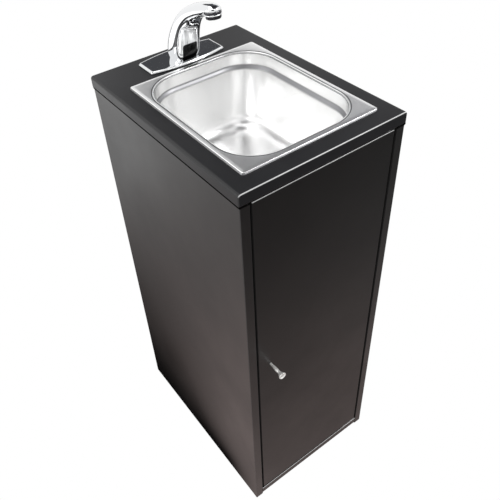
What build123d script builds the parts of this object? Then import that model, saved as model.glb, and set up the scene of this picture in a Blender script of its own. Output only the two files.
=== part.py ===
from build123d import *
import math
import os

os.makedirs("parts", exist_ok=True)

# A self-contained handwash sink: a tall cabinet of laminated board, a half-size steel pan let
# into its top board, a touch-free faucet behind the pan, and tanks, pump and battery inside.
# Millimetres. X runs across the front to the right, Y to the back, Z up from the floor.
# The origin is on the floor under the middle of the whole sink, its knob included.

# ---- cabinet boards
pan_side_margin = 31.0
pan_front_margin = 31.5
deck_gap = 6.0
deck_back_margin = 16.5
top_height = 886.0
top_thickness = 21.0
top_edge_radius = 2.0
top_side_radius = 5.0
board_thickness = 18.0
back_thickness = 12.0
board_edge_radius = 1.5
side_setback = 1.5
front_setback = 1.0
back_setback = 1.5
bottom_lift = 4.0
rail_thickness = 12.0
rail_height = 60.0
batten_size = 15.0
shelf_thickness = 12.0
shelf_height = 470.0
shelf_depth = 191.5
dowel_radius = 4.0
dowel_length = 30.0
glide_height = 3.0
glide_radius = 8.0
glide_inset = 32.0
nail_radius = 1.3
nail_length = 12.0

# ---- door and its hardware
door_side_gap = 3.0
door_top_gap = 4.0
door_bottom_gap = 3.0
door_recess = 0.8
rail_gap = 3.6
pivot_from_edge = 9.0
pivot_from_face = 6.5
pivot_radius = 3.0
pivot_engagement = 10.0
pivot_clearance = 0.05
pivot_end_play = 1.0
bush_wall = 1.5
pivot_plate_length = 40.0
pivot_plate_width = 14.0
pivot_plate_thickness = 1.5
pivot_screw_from_end = 4.0
pivot_screw_spacing = 11.0
pivot_screw_head = 0.9
seat_gap = 0.3
knob_from_edge = 27.0
knob_height = 472.0
knob_length = 35.0
knob_head_radius = 8.0
knob_head_thickness = 3.5
knob_stem_radius = 3.4
knob_neck_radius = 2.6
knob_face_radius = 6.4
knob_face_depth = 0.6
knob_screw_radius = 2.0
knob_screw_grip = 8.0
knob_screw_head = 4.2
knob_screw_head_height = 2.4
catch_height = 700.0
catch_length = 46.0
catch_width = 14.0
catch_depth = 16.0
magnet_length = 30.0
magnet_proud = 0.8
strike_thickness = 1.2
strike_margin = 3.0

# ---- basin pan and its drain
rim_width = 265.0
rim_length = 325.0
rim_height = 4.0
rim_corner = 5.0
rim_edge_radius = 2.8
rim_flange = 12.5
pan_wall = 1.0
opening_corner = 68.0
opening_lip_radius = 2.6
stack_depth = 27.0
shoulder_width = 4.0
shoulder_drop = 5.0
pan_depth = 150.0
wall_draft = 5.0
pan_bottom_radius = 30.0
cutout_clearance = 2.0
drain_radius = 19.0
drain_wall = 2.0
drain_flange_radius = 28.0
drain_flange_thickness = 1.6
drain_hole_radius = 2.6
drain_inner_ring = 6.3
drain_outer_ring = 12.8
drain_thread_length = 27.0
drain_gasket_thickness = 2.0
drain_nut_height = 8.0
drain_nut_radius = 28.0
drain_lug_reach = 3.0
tail_height = 26.0
tail_collar = 12.0
tail_barb_radius = 11.0

# ---- faucet on its deck plate
deck_width = 157.0
deck_depth = 67.0
deck_end_depth = 47.0
deck_height = 6.0
deck_draft = 14.0
deck_corner = 3.0
deck_edge_radius = 1.0
deck_gasket_thickness = 0.8
deck_gasket_inset = 2.0
faucet_hole_radius = 17.0
faucet_hole_offset = 5.0
body_offset = 2.0
body_reach = 108.0
body_rise = 116.5
body_half_width = 27.0
body_half_depth = 24.0
section_corner = 0.78
# Stations of the body as shares of its reach, rise, half width and half depth, with the lean.
body_stations = [
    (0.0, 0.0, 0.0, 0.907, 0.896),
    (0.005, 0.103, 4.0, 1.0, 1.0),
    (0.056, 0.292, 14.0, 1.0, 0.938),
    (0.157, 0.498, 31.0, 0.944, 0.792),
    (0.296, 0.687, 47.0, 0.870, 0.667),
    (0.491, 0.841, 60.0, 0.796, 0.563),
    (0.694, 0.936, 69.0, 0.722, 0.500),
    (0.870, 0.983, 78.0, 0.652, 0.450),
    (1.0, 1.0, 86.0, 0.578, 0.417),
]
nose_ahead = 3.0
nose_drop = 10.5
nose_lean = 8.0
nose_mouth_radius = 11.5
nose_radius = 16.0
nose_rise = 12.0
nose_length = 21.0
aerator_radius = 10.2
aerator_depth = 5.0
aerator_proud = 1.2
aerator_mesh_radius = 8.0
aerator_mesh_depth = 1.0
window_width = 30.0
window_height = 34.0
window_corner = 4.0
window_depth = 6.0
stud_radius = 4.0
stud_length = 80.0
stud_offset = 10.0
washer_radius = 24.0
washer_thickness = 3.0
washer_slot = 26.0
stud_nut_radius = 8.5
stud_nut_height = 9.0

# ---- valve and sensor box on the back board
control_centre_x = -5.0
control_width = 100.0
control_height = 130.0
control_above_shelf = 128.0
control_base_depth = 34.0
control_cover_depth = 17.0
control_cover_radius = 5.0
control_port_x = 25.0
fitting_collar_radius = 8.0
fitting_collar_length = 6.0
fitting_barb_length = 16.0
fitting_spacing_y = 23.0

# ---- tanks
tank_height = 340.0
tank_gap = 8.0
tank_side_gap = 4.0
tank_back_gap = 29.7
tank_wall = 2.5
tank_radius = 16.0
tank_front_gap = 13.0
tank_lift = 0.3
neck_radius = 28.0
neck_wall = 4.0
neck_height = 22.0
neck_from_front = 60.0
grip_length = 130.0
grip_width = 24.0
grip_height = 36.0
grip_bar = 13.0
grip_leg = 18.0
grip_offset = 25.0
panel_recess_depth = 2.0
panel_recess_margin = 34.0
cap_radius = 33.0
cap_height = 19.0
cap_top = 3.0
cap_clearance = 0.3
cap_ribs = 18
cap_rib_radius = 1.5
hose_clearance = 0.6

# ---- pump, battery and switch on the shelf
pump_from_back = 91.5
motor_radius = 31.0
motor_length = 100.0
motor_cap_length = 12.0
motor_side_gap = 10.0
head_length = 64.0
head_width = 84.0
head_height = 68.0
head_radius = 6.0
base_thickness = 3.0
base_margin = 8.0
foot_radius = 8.0
foot_height = 12.0
foot_margin = 2.0
saddle_length = 20.0
saddle_width = 40.0
port_height = 15.0
port_radius = 9.0
port_stub = 10.0
port_barb = 18.0
elbow_reach = 16.0
battery_width = 65.0
battery_length = 151.0
battery_height = 94.0
battery_side_gap = 10.0
battery_back_gap = 12.0
battery_radius = 3.0
terminal_size = 6.0
terminal_height = 7.0
terminal_spacing = 30.0
strap_width = 20.0
strap_thickness = 1.5
switch_width = 30.0
switch_depth = 34.0
switch_height = 30.0
switch_gap = 5.0
switch_front_gap = 4.0
rocker_radius = 10.0
rocker_width = 11.0
rocker_clearance = 0.4
rocker_inset = 5.0
rocker_proud = 3.0
rocker_tilt = 8.0
rocker_pin_radius = 1.5
rocker_pin_length = 2.0

# ---- hoses, leads and small fasteners
suction_radius = 7.0
drain_hose_radius = 13.0
drain_hose_depth = 8.0
pressure_radius = 7.0
supply_radius = 5.0
cable_radius = 2.0
lead_radius = 1.6
suction_run = 96.0
dip_gap = 15.0
pressure_rise = 35.0
line_rise = 30.0
line_drop = 50.0
line_setback = 7.0
supply_offset = 7.0
cable_offset = 8.0
cable_from_edge = 20.0
lead_setback = 8.0
lead_crest = 34.0
lead_bow = 3.0
motor_lead_inset = 30.0
motor_lead_height = 22.0
motor_lead_run = 28.0
barb_radius = 4.5
clamp_thickness = 1.0
clamp_width = 8.0
clamp_housing = 7.0
clamp_setback = 4.0
screw_head_radius = 3.4
screw_head_height = 1.6
screw_radius = 1.6
screw_length = 11.0
pivot_screw_length = 9.0

# ---- places worked out from the sizes
top_width = rim_width + 2 * pan_side_margin
top_depth = pan_front_margin + rim_length + deck_gap + deck_depth + deck_back_margin
knob_reach = knob_length - front_setback - door_recess
top_front = (knob_reach - top_depth) / 2
top_back = top_front + top_depth
side_out = top_width / 2 - side_setback
side_in = side_out - board_thickness
front_y = top_front + front_setback
back_y = top_back - back_setback
back_in = back_y - back_thickness
under_top = top_height - top_thickness
bottom_low = glide_height + bottom_lift
floor_in = bottom_low + board_thickness
shelf_top = shelf_height + shelf_thickness
shelf_front = back_in - shelf_depth
door_right = side_in - door_side_gap
door_front = front_y + door_recess
door_back = door_front + board_thickness
door_low = floor_in + door_bottom_gap
door_high = under_top - door_top_gap
rail_front = door_back + rail_gap
rail_back = rail_front + rail_thickness
pivot_x = door_right - pivot_from_edge
pivot_y = door_front + pivot_from_face
opening_width = rim_width - 2 * rim_flange
opening_length = rim_length - 2 * rim_flange
pan_centre_y = top_front + pan_front_margin + rim_length / 2
rim_top = top_height + rim_height
pan_floor = rim_top - pan_depth
deck_top = top_height + deck_height
deck_centre_y = pan_centre_y + rim_length / 2 + deck_gap + deck_depth / 2
faucet_hole_y = deck_centre_y - faucet_hole_offset
body_y = faucet_hole_y - body_offset
tank_width = side_in - tank_side_gap - tank_gap / 2
tank_front = door_back + tank_front_gap
tank_depth = back_in - tank_back_gap - tank_front
tank_low = floor_in + tank_lift
tank_top = tank_low + tank_height
neck_top = tank_top + neck_height
neck_y = tank_front + neck_from_front


# ---------------------------------------------------------------- shapes used by many pieces
def block(x0, x1, y0, y1, z0, z1):
    """Straight box between two corners."""
    middle = Pos((x0 + x1) / 2, (y0 + y1) / 2, (z0 + z1) / 2)
    return middle * Box(x1 - x0, y1 - y0, z1 - z0)


def bar(start, direction, length, radius):
    """Round bar from a point along a direction."""
    low = (Align.CENTER, Align.CENTER, Align.MIN)
    return Plane(origin=start, z_dir=direction) * Cylinder(radius, length, align=low)


def ring(start, direction, length, outer, inner):
    """Round tube from a point along a direction."""
    return bar(start, direction, length, outer) - bar(start, direction, length, inner)


def screw(point, direction, length=screw_length, radius=screw_radius,
          head=screw_head_radius, head_height=screw_head_height):
    """Pan-head screw seated at a point and driven along a direction."""
    away = tuple(Vector(*direction) * -1)
    return bar(point, away, head_height, head) + bar(point, direction, length, radius)


def hose(points, radii, radius):
    """Round hose along straight runs joined by arcs."""
    path = FilletPolyline(*points, radius=radii)
    start = Plane(origin=path @ 0, z_dir=path % 0)
    return sweep(start * Circle(radius), path=path)


# ---------------------------------------------------------------- cabinet
def make_top_board():
    """Top board with the pan's cut-out and the faucet's hole."""
    board = block(-top_width / 2, top_width / 2, top_front, top_back, under_top, top_height)
    board = fillet(board.edges().filter_by(Axis.Y).group_by(Axis.Z)[-1], top_side_radius)
    board = fillet(board.edges().filter_by(Axis.X).group_by(Axis.Z)[-1], top_edge_radius)
    board = fillet(board.edges().group_by(Axis.Z)[0], board_edge_radius)
    grow = pan_wall + cutout_clearance
    outline = RectangleRounded(opening_width + 2 * grow, opening_length + 2 * grow, opening_corner + grow)
    board -= extrude(Pos(0, pan_centre_y, under_top - 1) * outline, top_thickness + 2)
    return board - bar((0, faucet_hole_y, under_top - 1), (0, 0, 1), top_thickness + 2, faucet_hole_radius)


def make_side_board(side):
    """Side board; side is -1 for the left and 1 for the right."""
    low, high = sorted((side * side_in, side * side_out))
    board = block(low, high, front_y, back_y, glide_height, under_top)
    return fillet(board.edges().filter_by(Axis.Z), board_edge_radius)


def make_dowels():
    """Glued dowels between the side boards and the boards that stand between them."""
    dowels = []
    middle_z = (bottom_low + floor_in) / 2
    back_mid = (back_y + back_in) / 2
    rail_mid = (rail_front + rail_back) / 2
    rail_z = under_top - rail_height / 2
    quarter = (back_y - front_y) / 4
    places = [(front_y + quarter, middle_z), (back_y - quarter, middle_z), (back_mid, shelf_height / 2)]
    places += [(back_mid, (shelf_top + under_top) / 2), (rail_mid, rail_z)]
    for side in (-1, 1):
        for y, z in places:
            start = side * (side_in - dowel_length / 2)
            dowels.append(bar((start, y, z), (side, 0, 0), dowel_length, dowel_radius))
    return dowels


def make_glides():
    """Nail-in glides under the four ends of the side boards."""
    glides = []
    x = (side_in + side_out) / 2
    for side in (-1, 1):
        for y in (front_y + glide_inset, back_y - glide_inset):
            disc = bar((side * x, y, 0), (0, 0, 1), glide_height, glide_radius)
            disc = chamfer(disc.edges().group_by(Axis.Z)[0], glide_height / 3)
            glides.append(disc + bar((side * x, y, glide_height), (0, 0, 1), nail_length, nail_radius))
    return glides


# ---------------------------------------------------------------- door
def make_knob():
    """Turned knob: neck, stem and a flared head with a shallow dished face."""
    head = knob_length - knob_head_thickness
    flare = knob_length * 0.62
    neck = knob_neck_radius
    stem = knob_stem_radius
    outer = knob_head_radius
    dish = knob_length - knob_face_depth
    profile = Polyline(
        (0, 0), (stem + 1, 0), (stem + 1, 1.2), (neck, 3.5),
        (neck, 5.0), (stem, 6.5), (stem, flare - 2), (neck, flare),
    )
    curve = ThreePointArc((neck, flare), (neck + 1.5, (flare + head) / 2 + 1), (outer, head))
    rest = Polyline(
        (outer, head), (outer, knob_length - 0.6), (outer - 0.6, knob_length),
        (knob_face_radius, knob_length), (knob_face_radius - 0.5, dish), (0, dish), (0, 0),
    )
    face = make_face(profile + curve + rest)
    turned = revolve(Plane.XZ * face, Axis.Z)
    x = -door_right + knob_from_edge
    return Plane(origin=(x, door_front, knob_height), z_dir=(0, -1, 0)) * turned


def make_pivot(face_z, up):
    """Pivot plate with its pin; up is 1 on the bottom board and -1 under the top board."""
    half = pivot_plate_length / 2
    right = side_in - door_side_gap / 2
    low, high = sorted((face_z, face_z + up * pivot_plate_thickness))
    y0 = pivot_y - pivot_plate_width / 2 + 1
    plate = block(right - 2 * half, right, y0, y0 + pivot_plate_width, low, high)
    plate = fillet(plate.edges().filter_by(Axis.Z), 3.0)
    gap = door_bottom_gap if up > 0 else door_top_gap
    return plate + bar((pivot_x, pivot_y, face_z), (0, 0, up), gap + pivot_engagement, pivot_radius)


def make_bush(edge_z, up):
    """Bush let into the door's edge; up is 1 in the lower edge and -1 in the upper edge."""
    depth = pivot_engagement + pivot_end_play
    inner = pivot_radius + pivot_clearance
    return ring((pivot_x, pivot_y, edge_z), (0, 0, up), depth, inner + bush_wall, inner)


# ---------------------------------------------------------------- basin pan
def pan_form(grow):
    """Solid that fills the pan's inside, grown outwards by the wall."""
    def outline(width, length, corner, z):
        shape = RectangleRounded(width + 2 * grow, length + 2 * grow, corner + grow)
        return Pos(0, pan_centre_y, z) * shape

    shoulder_top = rim_top - stack_depth
    shoulder_low = shoulder_top - shoulder_drop
    narrow = 2 * shoulder_width
    fall = shoulder_low - pan_floor
    shrink = 2 * fall * math.tan(math.radians(wall_draft))
    mouth = outline(opening_width, opening_length, opening_corner, shoulder_top)
    upper = extrude(mouth, stack_depth)
    corner = opening_corner - shoulder_width
    waist = outline(opening_width - narrow, opening_length - narrow, corner, shoulder_low)
    shoulder = loft([mouth, waist], ruled=True)
    narrow += shrink
    foot_corner = corner - shrink / 2
    foot = outline(opening_width - narrow, opening_length - narrow, foot_corner, pan_floor - grow)
    lower = loft([waist, foot], ruled=True)
    lower = fillet(lower.edges().group_by(Axis.Z)[0], pan_bottom_radius + grow)
    return upper + shoulder + lower


def make_pan():
    """Drawn steel pan: turned-down rim, rolled opening, stacking shoulder and deep bottom radius."""
    seat = Pos(0, pan_centre_y, top_height)
    rim = extrude(seat * RectangleRounded(rim_width, rim_length, rim_corner), rim_height)
    rim = fillet(rim.edges().group_by(Axis.Z)[-1], rim_edge_radius)
    hollow = RectangleRounded(rim_width - 2 * pan_wall, rim_length - 2 * pan_wall, rim_corner - pan_wall)
    under = extrude(seat * hollow, rim_height - pan_wall)
    rim -= fillet(under.edges().group_by(Axis.Z)[-1], rim_edge_radius - pan_wall)
    body = rim + pan_form(pan_wall)
    cover = block(-rim_width / 2, rim_width / 2, pan_centre_y - rim_length / 2, pan_centre_y + rim_length / 2,
                  rim_top, rim_top + rim_height)
    inside = cover + pan_form(0)
    inside = fillet(opening_edges(inside, rim_top), opening_lip_radius)
    body = fillet(opening_edges(body, rim_top - pan_wall), opening_lip_radius - pan_wall)
    pan = body - inside
    return pan - bar((0, pan_centre_y, pan_floor - 5), (0, 0, 1), 10, drain_radius)


def opening_edges(solid, z):
    """Edges of the pan's opening that lie at one height."""
    reach = max(opening_width, opening_length) / 2 + 2 * pan_wall
    level = solid.edges().filter_by(lambda e: abs(e.bounding_box().max.Z - z) < 0.01)
    level = level.filter_by(lambda e: abs(e.bounding_box().min.Z - z) < 0.01)
    width = opening_width / 2 + 2 * pan_wall
    return level.filter_by(lambda e: abs(e.center().X) < width and abs(e.center().Y - pan_centre_y) < reach)


def make_drain_flange():
    """Strainer flange with a ring of holes and a threaded body under it."""
    low = pan_floor
    bore = drain_radius - drain_wall
    flange = bar((0, pan_centre_y, low), (0, 0, 1), drain_flange_thickness, drain_flange_radius)
    flange = chamfer(flange.edges().group_by(Axis.Z)[-1], drain_flange_thickness / 2)
    thread_low = low - drain_thread_length
    body = ring((0, pan_centre_y, thread_low), (0, 0, 1), drain_thread_length, drain_radius, bore)
    solid = flange + body
    places = [(0, 0)]
    for count, radius in ((6, drain_inner_ring), (10, drain_outer_ring)):
        for i in range(count):
            turn = 2 * math.pi * i / count
            places.append((radius * math.cos(turn), radius * math.sin(turn)))
    for x, y in places:
        solid -= bar((x, pan_centre_y + y, low - 1), (0, 0, 1), drain_flange_thickness + 2, drain_hole_radius)
    return solid


def make_drain_nut():
    """Lock nut with finger lugs."""
    top = pan_floor - pan_wall - drain_gasket_thickness
    low = top - drain_nut_height
    nut = bar((0, pan_centre_y, low), (0, 0, 1), drain_nut_height, drain_nut_radius - drain_lug_reach)
    lug = Box(2 * drain_lug_reach, 2 * drain_nut_radius, drain_nut_height)
    for i in range(3):
        nut += Pos(0, pan_centre_y, low + drain_nut_height / 2) * Rot(0, 0, 60 * i) * lug
    return nut - bar((0, pan_centre_y, low - 1), (0, 0, 1), drain_nut_height + 2, drain_radius)


def make_tailpiece():
    """Tailpiece: a slip collar round the drain's thread, then a hose barb."""
    top = pan_floor - drain_thread_length + tail_collar / 2
    low = top - tail_collar
    mouth = low - tail_height
    collar = bar((0, pan_centre_y, low), (0, 0, 1), tail_collar, drain_radius + 3)
    collar = chamfer(collar.edges().group_by(Axis.Z)[0], 2.0)
    barb = bar((0, pan_centre_y, mouth), (0, 0, 1), tail_height, tail_barb_radius)
    bored = collar + barb
    bored -= bar((0, pan_centre_y, low + tail_collar / 2), (0, 0, 1), tail_collar, drain_radius)
    bore = tail_barb_radius - drain_wall
    return bored - bar((0, pan_centre_y, mouth - 1), (0, 0, 1), tail_height + tail_collar, bore)


# ---------------------------------------------------------------- faucet
def deck_outline(inset, z):
    """Barrel-shaped outline of the deck plate."""
    half = deck_width / 2 - inset
    end = deck_end_depth / 2 - inset
    middle = deck_depth / 2 - inset
    lines = Line((half, -end), (half, end))
    lines += ThreePointArc((half, end), (0, middle), (-half, end))
    lines += Line((-half, end), (-half, -end))
    lines += ThreePointArc((-half, -end), (0, -middle), (half, -end))
    face = make_face(lines)
    return Pos(0, deck_centre_y, z) * fillet(face.vertices(), deck_corner)


def make_deck_plate():
    """Hollow cast deck plate with sloping sides."""
    low = top_height + deck_gasket_thickness
    height = deck_top - low
    top_inset = height * math.tan(math.radians(deck_draft))
    plate = loft([deck_outline(0, low), deck_outline(top_inset, deck_top)], ruled=True)
    plate = fillet(plate.edges().group_by(Axis.Z)[-1], deck_edge_radius)
    return plate - bar((0, faucet_hole_y, low - 1), (0, 0, 1), height + 2, faucet_hole_radius)


def make_faucet_solid():
    """Body leaning forward over the pan, ending in a round nose."""
    sections = []
    for reach, rise, lean, width, depth in body_stations:
        tangent = (0, -math.sin(math.radians(lean)), math.cos(math.radians(lean)))
        place = (0, body_y - reach * body_reach, deck_top + rise * body_rise)
        plane = Plane(origin=place, x_dir=(1, 0, 0), z_dir=tangent)
        half_width = width * body_half_width
        half_depth = depth * body_half_depth
        corner = section_corner * half_depth
        sections.append(plane * RectangleRounded(2 * half_width, 2 * half_depth, corner))
    body = loft(sections)
    return body + make_nose()


def nose_plane():
    """Plane of the spout's mouth, its normal pointing up into the nose."""
    lean = math.radians(nose_lean)
    mouth = (0, body_y - body_reach - nose_ahead, deck_top + body_rise - nose_drop)
    return Plane(origin=mouth, x_dir=(1, 0, 0), z_dir=(0, math.sin(lean), math.cos(lean)))


def make_nose():
    """Domed nose over the spout's mouth."""
    lines = Line((0, 0), (nose_mouth_radius, 0))
    shoulder = (nose_radius - 1.2, nose_rise * 0.45)
    lines += ThreePointArc((nose_mouth_radius, 0), shoulder, (nose_radius, nose_rise))
    crown = (nose_radius * 0.74, nose_rise + (nose_length - nose_rise) * 0.68)
    lines += ThreePointArc((nose_radius, nose_rise), crown, (0, nose_length))
    lines += Line((0, nose_length), (0, 0))
    return nose_plane() * revolve(Plane.XZ * make_face(lines), Axis.Z)


def make_aerator():
    """Aerator insert with a recessed mesh face."""
    plane = nose_plane()
    low = (Align.CENTER, Align.CENTER, Align.MIN)
    insert = Pos(0, 0, -aerator_proud) * Cylinder(aerator_radius, aerator_depth + aerator_proud, align=low)
    recess = Pos(0, 0, -aerator_proud) * Cylinder(aerator_mesh_radius, aerator_mesh_depth, align=low)
    return plane * (insert - recess)


def make_aerator_seat():
    """Bore in the nose that takes the aerator."""
    low = (Align.CENTER, Align.CENTER, Align.MIN)
    return nose_plane() * Cylinder(aerator_radius, aerator_depth, align=low)


def make_window_prism():
    """Upright prism that the sensor window is cut from."""
    outline = Rectangle(window_width, window_height, align=(Align.CENTER, Align.MIN))
    outline = fillet(outline.vertices().group_by(Axis.Y)[-1], window_corner)
    back = body_y - body_half_depth + window_depth
    plane = Plane(origin=(0, back, deck_top), x_dir=(1, 0, 0), z_dir=(0, -1, 0))
    return extrude(plane * outline, body_half_depth)


def make_washer():
    """Horseshoe washer that clamps the faucet from under the top board."""
    low = under_top - washer_thickness
    plate = bar((0, faucet_hole_y, low), (0, 0, 1), washer_thickness, washer_radius)
    slot = block(-washer_slot / 2, washer_slot / 2, faucet_hole_y - 2 * washer_radius,
                 faucet_hole_y + stud_offset - 2 * stud_radius, low - 1, under_top + 1)
    return plate - slot


def make_nut():
    """Hexagon nut on the stud."""
    low = under_top - washer_thickness - stud_nut_height
    shape = Pos(0, faucet_hole_y + stud_offset, low) * RegularPolygon(stud_nut_radius, 6)
    return extrude(shape, stud_nut_height)


# ---------------------------------------------------------------- valve and sensor box
control_left = control_centre_x - control_width / 2
control_right = control_centre_x + control_width / 2
control_bottom = shelf_top + control_above_shelf
control_top = control_bottom + control_height
control_split = back_in - control_base_depth
fitting_y = back_in - fitting_spacing_y
inlet_x = control_centre_x - control_port_x
outlet_x = control_centre_x + control_port_x


def make_fitting(x, z, up):
    """Threaded collar with a barb."""
    length = fitting_collar_length + fitting_barb_length
    collar = bar((x, fitting_y, z), (0, 0, up), fitting_collar_length, fitting_collar_radius)
    return collar + bar((x, fitting_y, z), (0, 0, up), length, barb_radius)


# ---------------------------------------------------------------- tanks
def tank_centre(side):
    """Middle of a tank across the cabinet; side is -1 for fresh and 1 for waste."""
    return side * (tank_gap + tank_width) / 2


def make_tank(side):
    """Blow-moulded tank with a neck in front, a hand grip and stiffened flanks."""
    x = tank_centre(side)
    half = tank_width / 2
    back = tank_front + tank_depth
    shell = block(x - half, x + half, tank_front, back, tank_low, tank_top)
    shell = fillet(shell.edges(), tank_radius)
    for flank in (-1, 1):
        edge = x + flank * half
        low, high = sorted((edge, edge - flank * panel_recess_depth))
        margin = panel_recess_margin
        panel = block(low, high, tank_front + margin, back - margin, tank_low + margin, tank_top - margin)
        shell -= panel
    grip_y = (tank_front + back) / 2 + grip_offset
    high = tank_top + grip_height
    grip = block(x - grip_width / 2, x + grip_width / 2, grip_y - grip_length / 2, grip_y + grip_length / 2,
                 tank_top - tank_wall, high)
    grip = fillet(grip.edges().filter_by(Axis.X).group_by(Axis.Z)[-1], grip_bar)
    grip = fillet(grip.edges().group_by(Axis.Z)[-1], 3.0)
    inner = grip_length / 2 - grip_leg
    gap = block(x - grip_width, x + grip_width, grip_y - inner, grip_y + inner, tank_top, high - grip_bar)
    gap = fillet(gap.edges().filter_by(Axis.X), 6.0)
    shell += grip - gap
    shell += bar((x, neck_y, tank_top - tank_wall), (0, 0, 1), neck_height + tank_wall, neck_radius)
    wall = tank_wall + panel_recess_depth
    hollow = block(x - half + wall, x + half - wall, tank_front + tank_wall, back - tank_wall,
                   tank_low + tank_wall, tank_top - tank_wall)
    hollow = fillet(hollow.edges(), tank_radius - tank_wall)
    shell -= hollow
    return shell - bar((x, neck_y, tank_top - 2 * tank_wall), (0, 0, 1), neck_height + 3 * tank_wall,
                       neck_radius - neck_wall)


def make_cap(side, passage):
    """Ribbed screw cap that sits over the neck, with a hole for its hose."""
    x = tank_centre(side)
    top = neck_top + cap_clearance + cap_top
    low = top - cap_height
    cap = bar((x, neck_y, low), (0, 0, 1), cap_height, cap_radius)
    for i in range(cap_ribs):
        turn = 2 * math.pi * i / cap_ribs
        place = (x + cap_radius * math.cos(turn), neck_y + cap_radius * math.sin(turn), low)
        cap += bar(place, (0, 0, 1), cap_height - cap_top, cap_rib_radius)
    cap -= bar((x, neck_y, low - 1), (0, 0, 1), cap_height - cap_top + 1, neck_radius + cap_clearance)
    return cap - bar((x, neck_y, low), (0, 0, 1), cap_height + 1, passage + hose_clearance)


# ---------------------------------------------------------------- pump, battery and switch
pump_y = back_in - pump_from_back
motor_left = -side_in + motor_side_gap
base_low = shelf_top + foot_height
base_top = base_low + base_thickness
motor_z = base_top + head_height / 2
motor_right = motor_left + motor_length
head_right = motor_right + head_length
port_x = (motor_right + head_right) / 2
port_z = base_top + port_height
port_front = pump_y - head_width / 2
port_back = pump_y + head_width / 2
elbow_y = port_back + elbow_reach
base_left = motor_left + motor_cap_length + base_margin
base_right = head_right - base_margin / 2
base_front = port_front - 2 * foot_radius - foot_margin
base_back = port_back + 2 * foot_radius + foot_margin


def make_motor():
    """Motor can with a smaller end bell."""
    can_left = motor_left + motor_cap_length
    can = bar((can_left, pump_y, motor_z), (1, 0, 0), motor_length - motor_cap_length, motor_radius)
    bell = bar((motor_left, pump_y, motor_z), (1, 0, 0), motor_cap_length, motor_radius - 3)
    bell = fillet(bell.edges().group_by(Axis.X)[0], 4.0)
    return can + bell


def make_head():
    """Diaphragm head: a square housing with a round pressure cover on its end."""
    housing = block(motor_right, head_right - 14, port_front, port_back, base_top, base_top + head_height)
    housing = fillet(housing.edges().filter_by(Axis.X), head_radius)
    cover = bar((head_right - 14, pump_y, motor_z), (1, 0, 0), 14, head_height / 2 - 2)
    cover = chamfer(cover.edges().group_by(Axis.X)[-1], 3.0)
    lower = block(head_right - 14, head_right - 4, port_front + 6, port_back - 6, base_top, motor_z)
    return housing + cover + lower


def make_base():
    """Base plate with a saddle under the motor."""
    plate = block(base_left, base_right, base_front, base_back, base_low, base_top)
    plate = fillet(plate.edges().filter_by(Axis.Z), 6.0)
    x = base_left + base_margin
    half = saddle_width / 2
    saddle = block(x, x + saddle_length, pump_y - half, pump_y + half, base_top, motor_z)
    return plate + saddle - bar((motor_left, pump_y, motor_z), (1, 0, 0), motor_length, motor_radius)


def foot_places():
    """Centres of the pump's four rubber feet."""
    places = []
    for x in (base_left + foot_radius + 1, base_right - foot_radius - 1):
        for y in (base_front + foot_radius + 1, base_back - foot_radius - 1):
            places.append((x, y))
    return places


def make_ports():
    """Inlet barb to the front and outlet elbow at the back of the pump head."""
    inlet = bar((port_x, port_front, port_z), (0, -1, 0), port_stub, port_radius)
    inlet += bar((port_x, port_front, port_z), (0, -1, 0), port_stub + port_barb, barb_radius)
    outlet = bar((port_x, port_back, port_z), (0, 1, 0), elbow_reach + port_radius / 2, port_radius)
    outlet += bar((port_x, elbow_y, port_z), (0, 0, 1), port_radius + 4, port_radius)
    outlet += bar((port_x, elbow_y, port_z), (0, 0, 1), port_radius + 4 + port_barb, barb_radius)
    return [inlet, outlet]


battery_right = side_in - battery_side_gap
battery_left = battery_right - battery_width
battery_back = back_in - battery_back_gap
battery_front = battery_back - battery_length
battery_top = shelf_top + battery_height
terminal_y = battery_front + 3 * terminal_size
terminal_x = (battery_left + battery_right) / 2


def make_battery():
    """Sealed battery with a raised lid edge."""
    case = block(battery_left, battery_right, battery_front, battery_back, shelf_top, battery_top)
    return fillet(case.edges(), battery_radius)


def make_terminals():
    """Spade terminals on the battery's lid."""
    pair = []
    half = terminal_size / 2
    for side in (-1, 1):
        x = terminal_x + side * terminal_spacing / 2
        pair.append(block(x - half / 4, x + half / 4, terminal_y - half, terminal_y + half,
                          battery_top, battery_top + terminal_height))
    return pair


def make_strap():
    """Strap over the battery, its feet flat on the shelf."""
    middle = (battery_front + battery_back) / 2
    y0 = middle - strap_width / 2
    y1 = middle + strap_width / 2
    t = strap_thickness
    left = battery_left - t - 0.1
    right = battery_right + t + 0.1
    outer = block(left, right, y0, y1, shelf_top, battery_top + t)
    feet = block(left - 7, right + 7, y0, y1, shelf_top, shelf_top + t)
    return outer + feet - block(left + t, right - t, y0 - 1, y1 + 1, shelf_top - 1, battery_top)


switch_right = battery_left - switch_gap
switch_left = switch_right - switch_width
switch_front = shelf_front + switch_front_gap
switch_back = switch_front + switch_depth
rocker_x = (switch_left + switch_right) / 2
rocker_y = switch_front + rocker_inset
rocker_z = shelf_top + switch_height / 2
switch_top = shelf_top + switch_height


def make_switch_box():
    """Switch box with a round-backed recess for the rocker."""
    case = block(switch_left, switch_right, switch_front, switch_back, shelf_top, switch_top)
    case = fillet(case.edges().filter_by(Axis.Y), 3.0)
    width = rocker_width + 2 * rocker_clearance
    start = (rocker_x - width / 2, rocker_y, rocker_z)
    case -= bar(start, (1, 0, 0), width, rocker_radius + rocker_clearance)
    pin = rocker_width + 2 * rocker_pin_length + 1
    start = (rocker_x - pin / 2, rocker_y, rocker_z)
    return case - bar(start, (1, 0, 0), pin, rocker_pin_radius + pivot_clearance)


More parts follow.
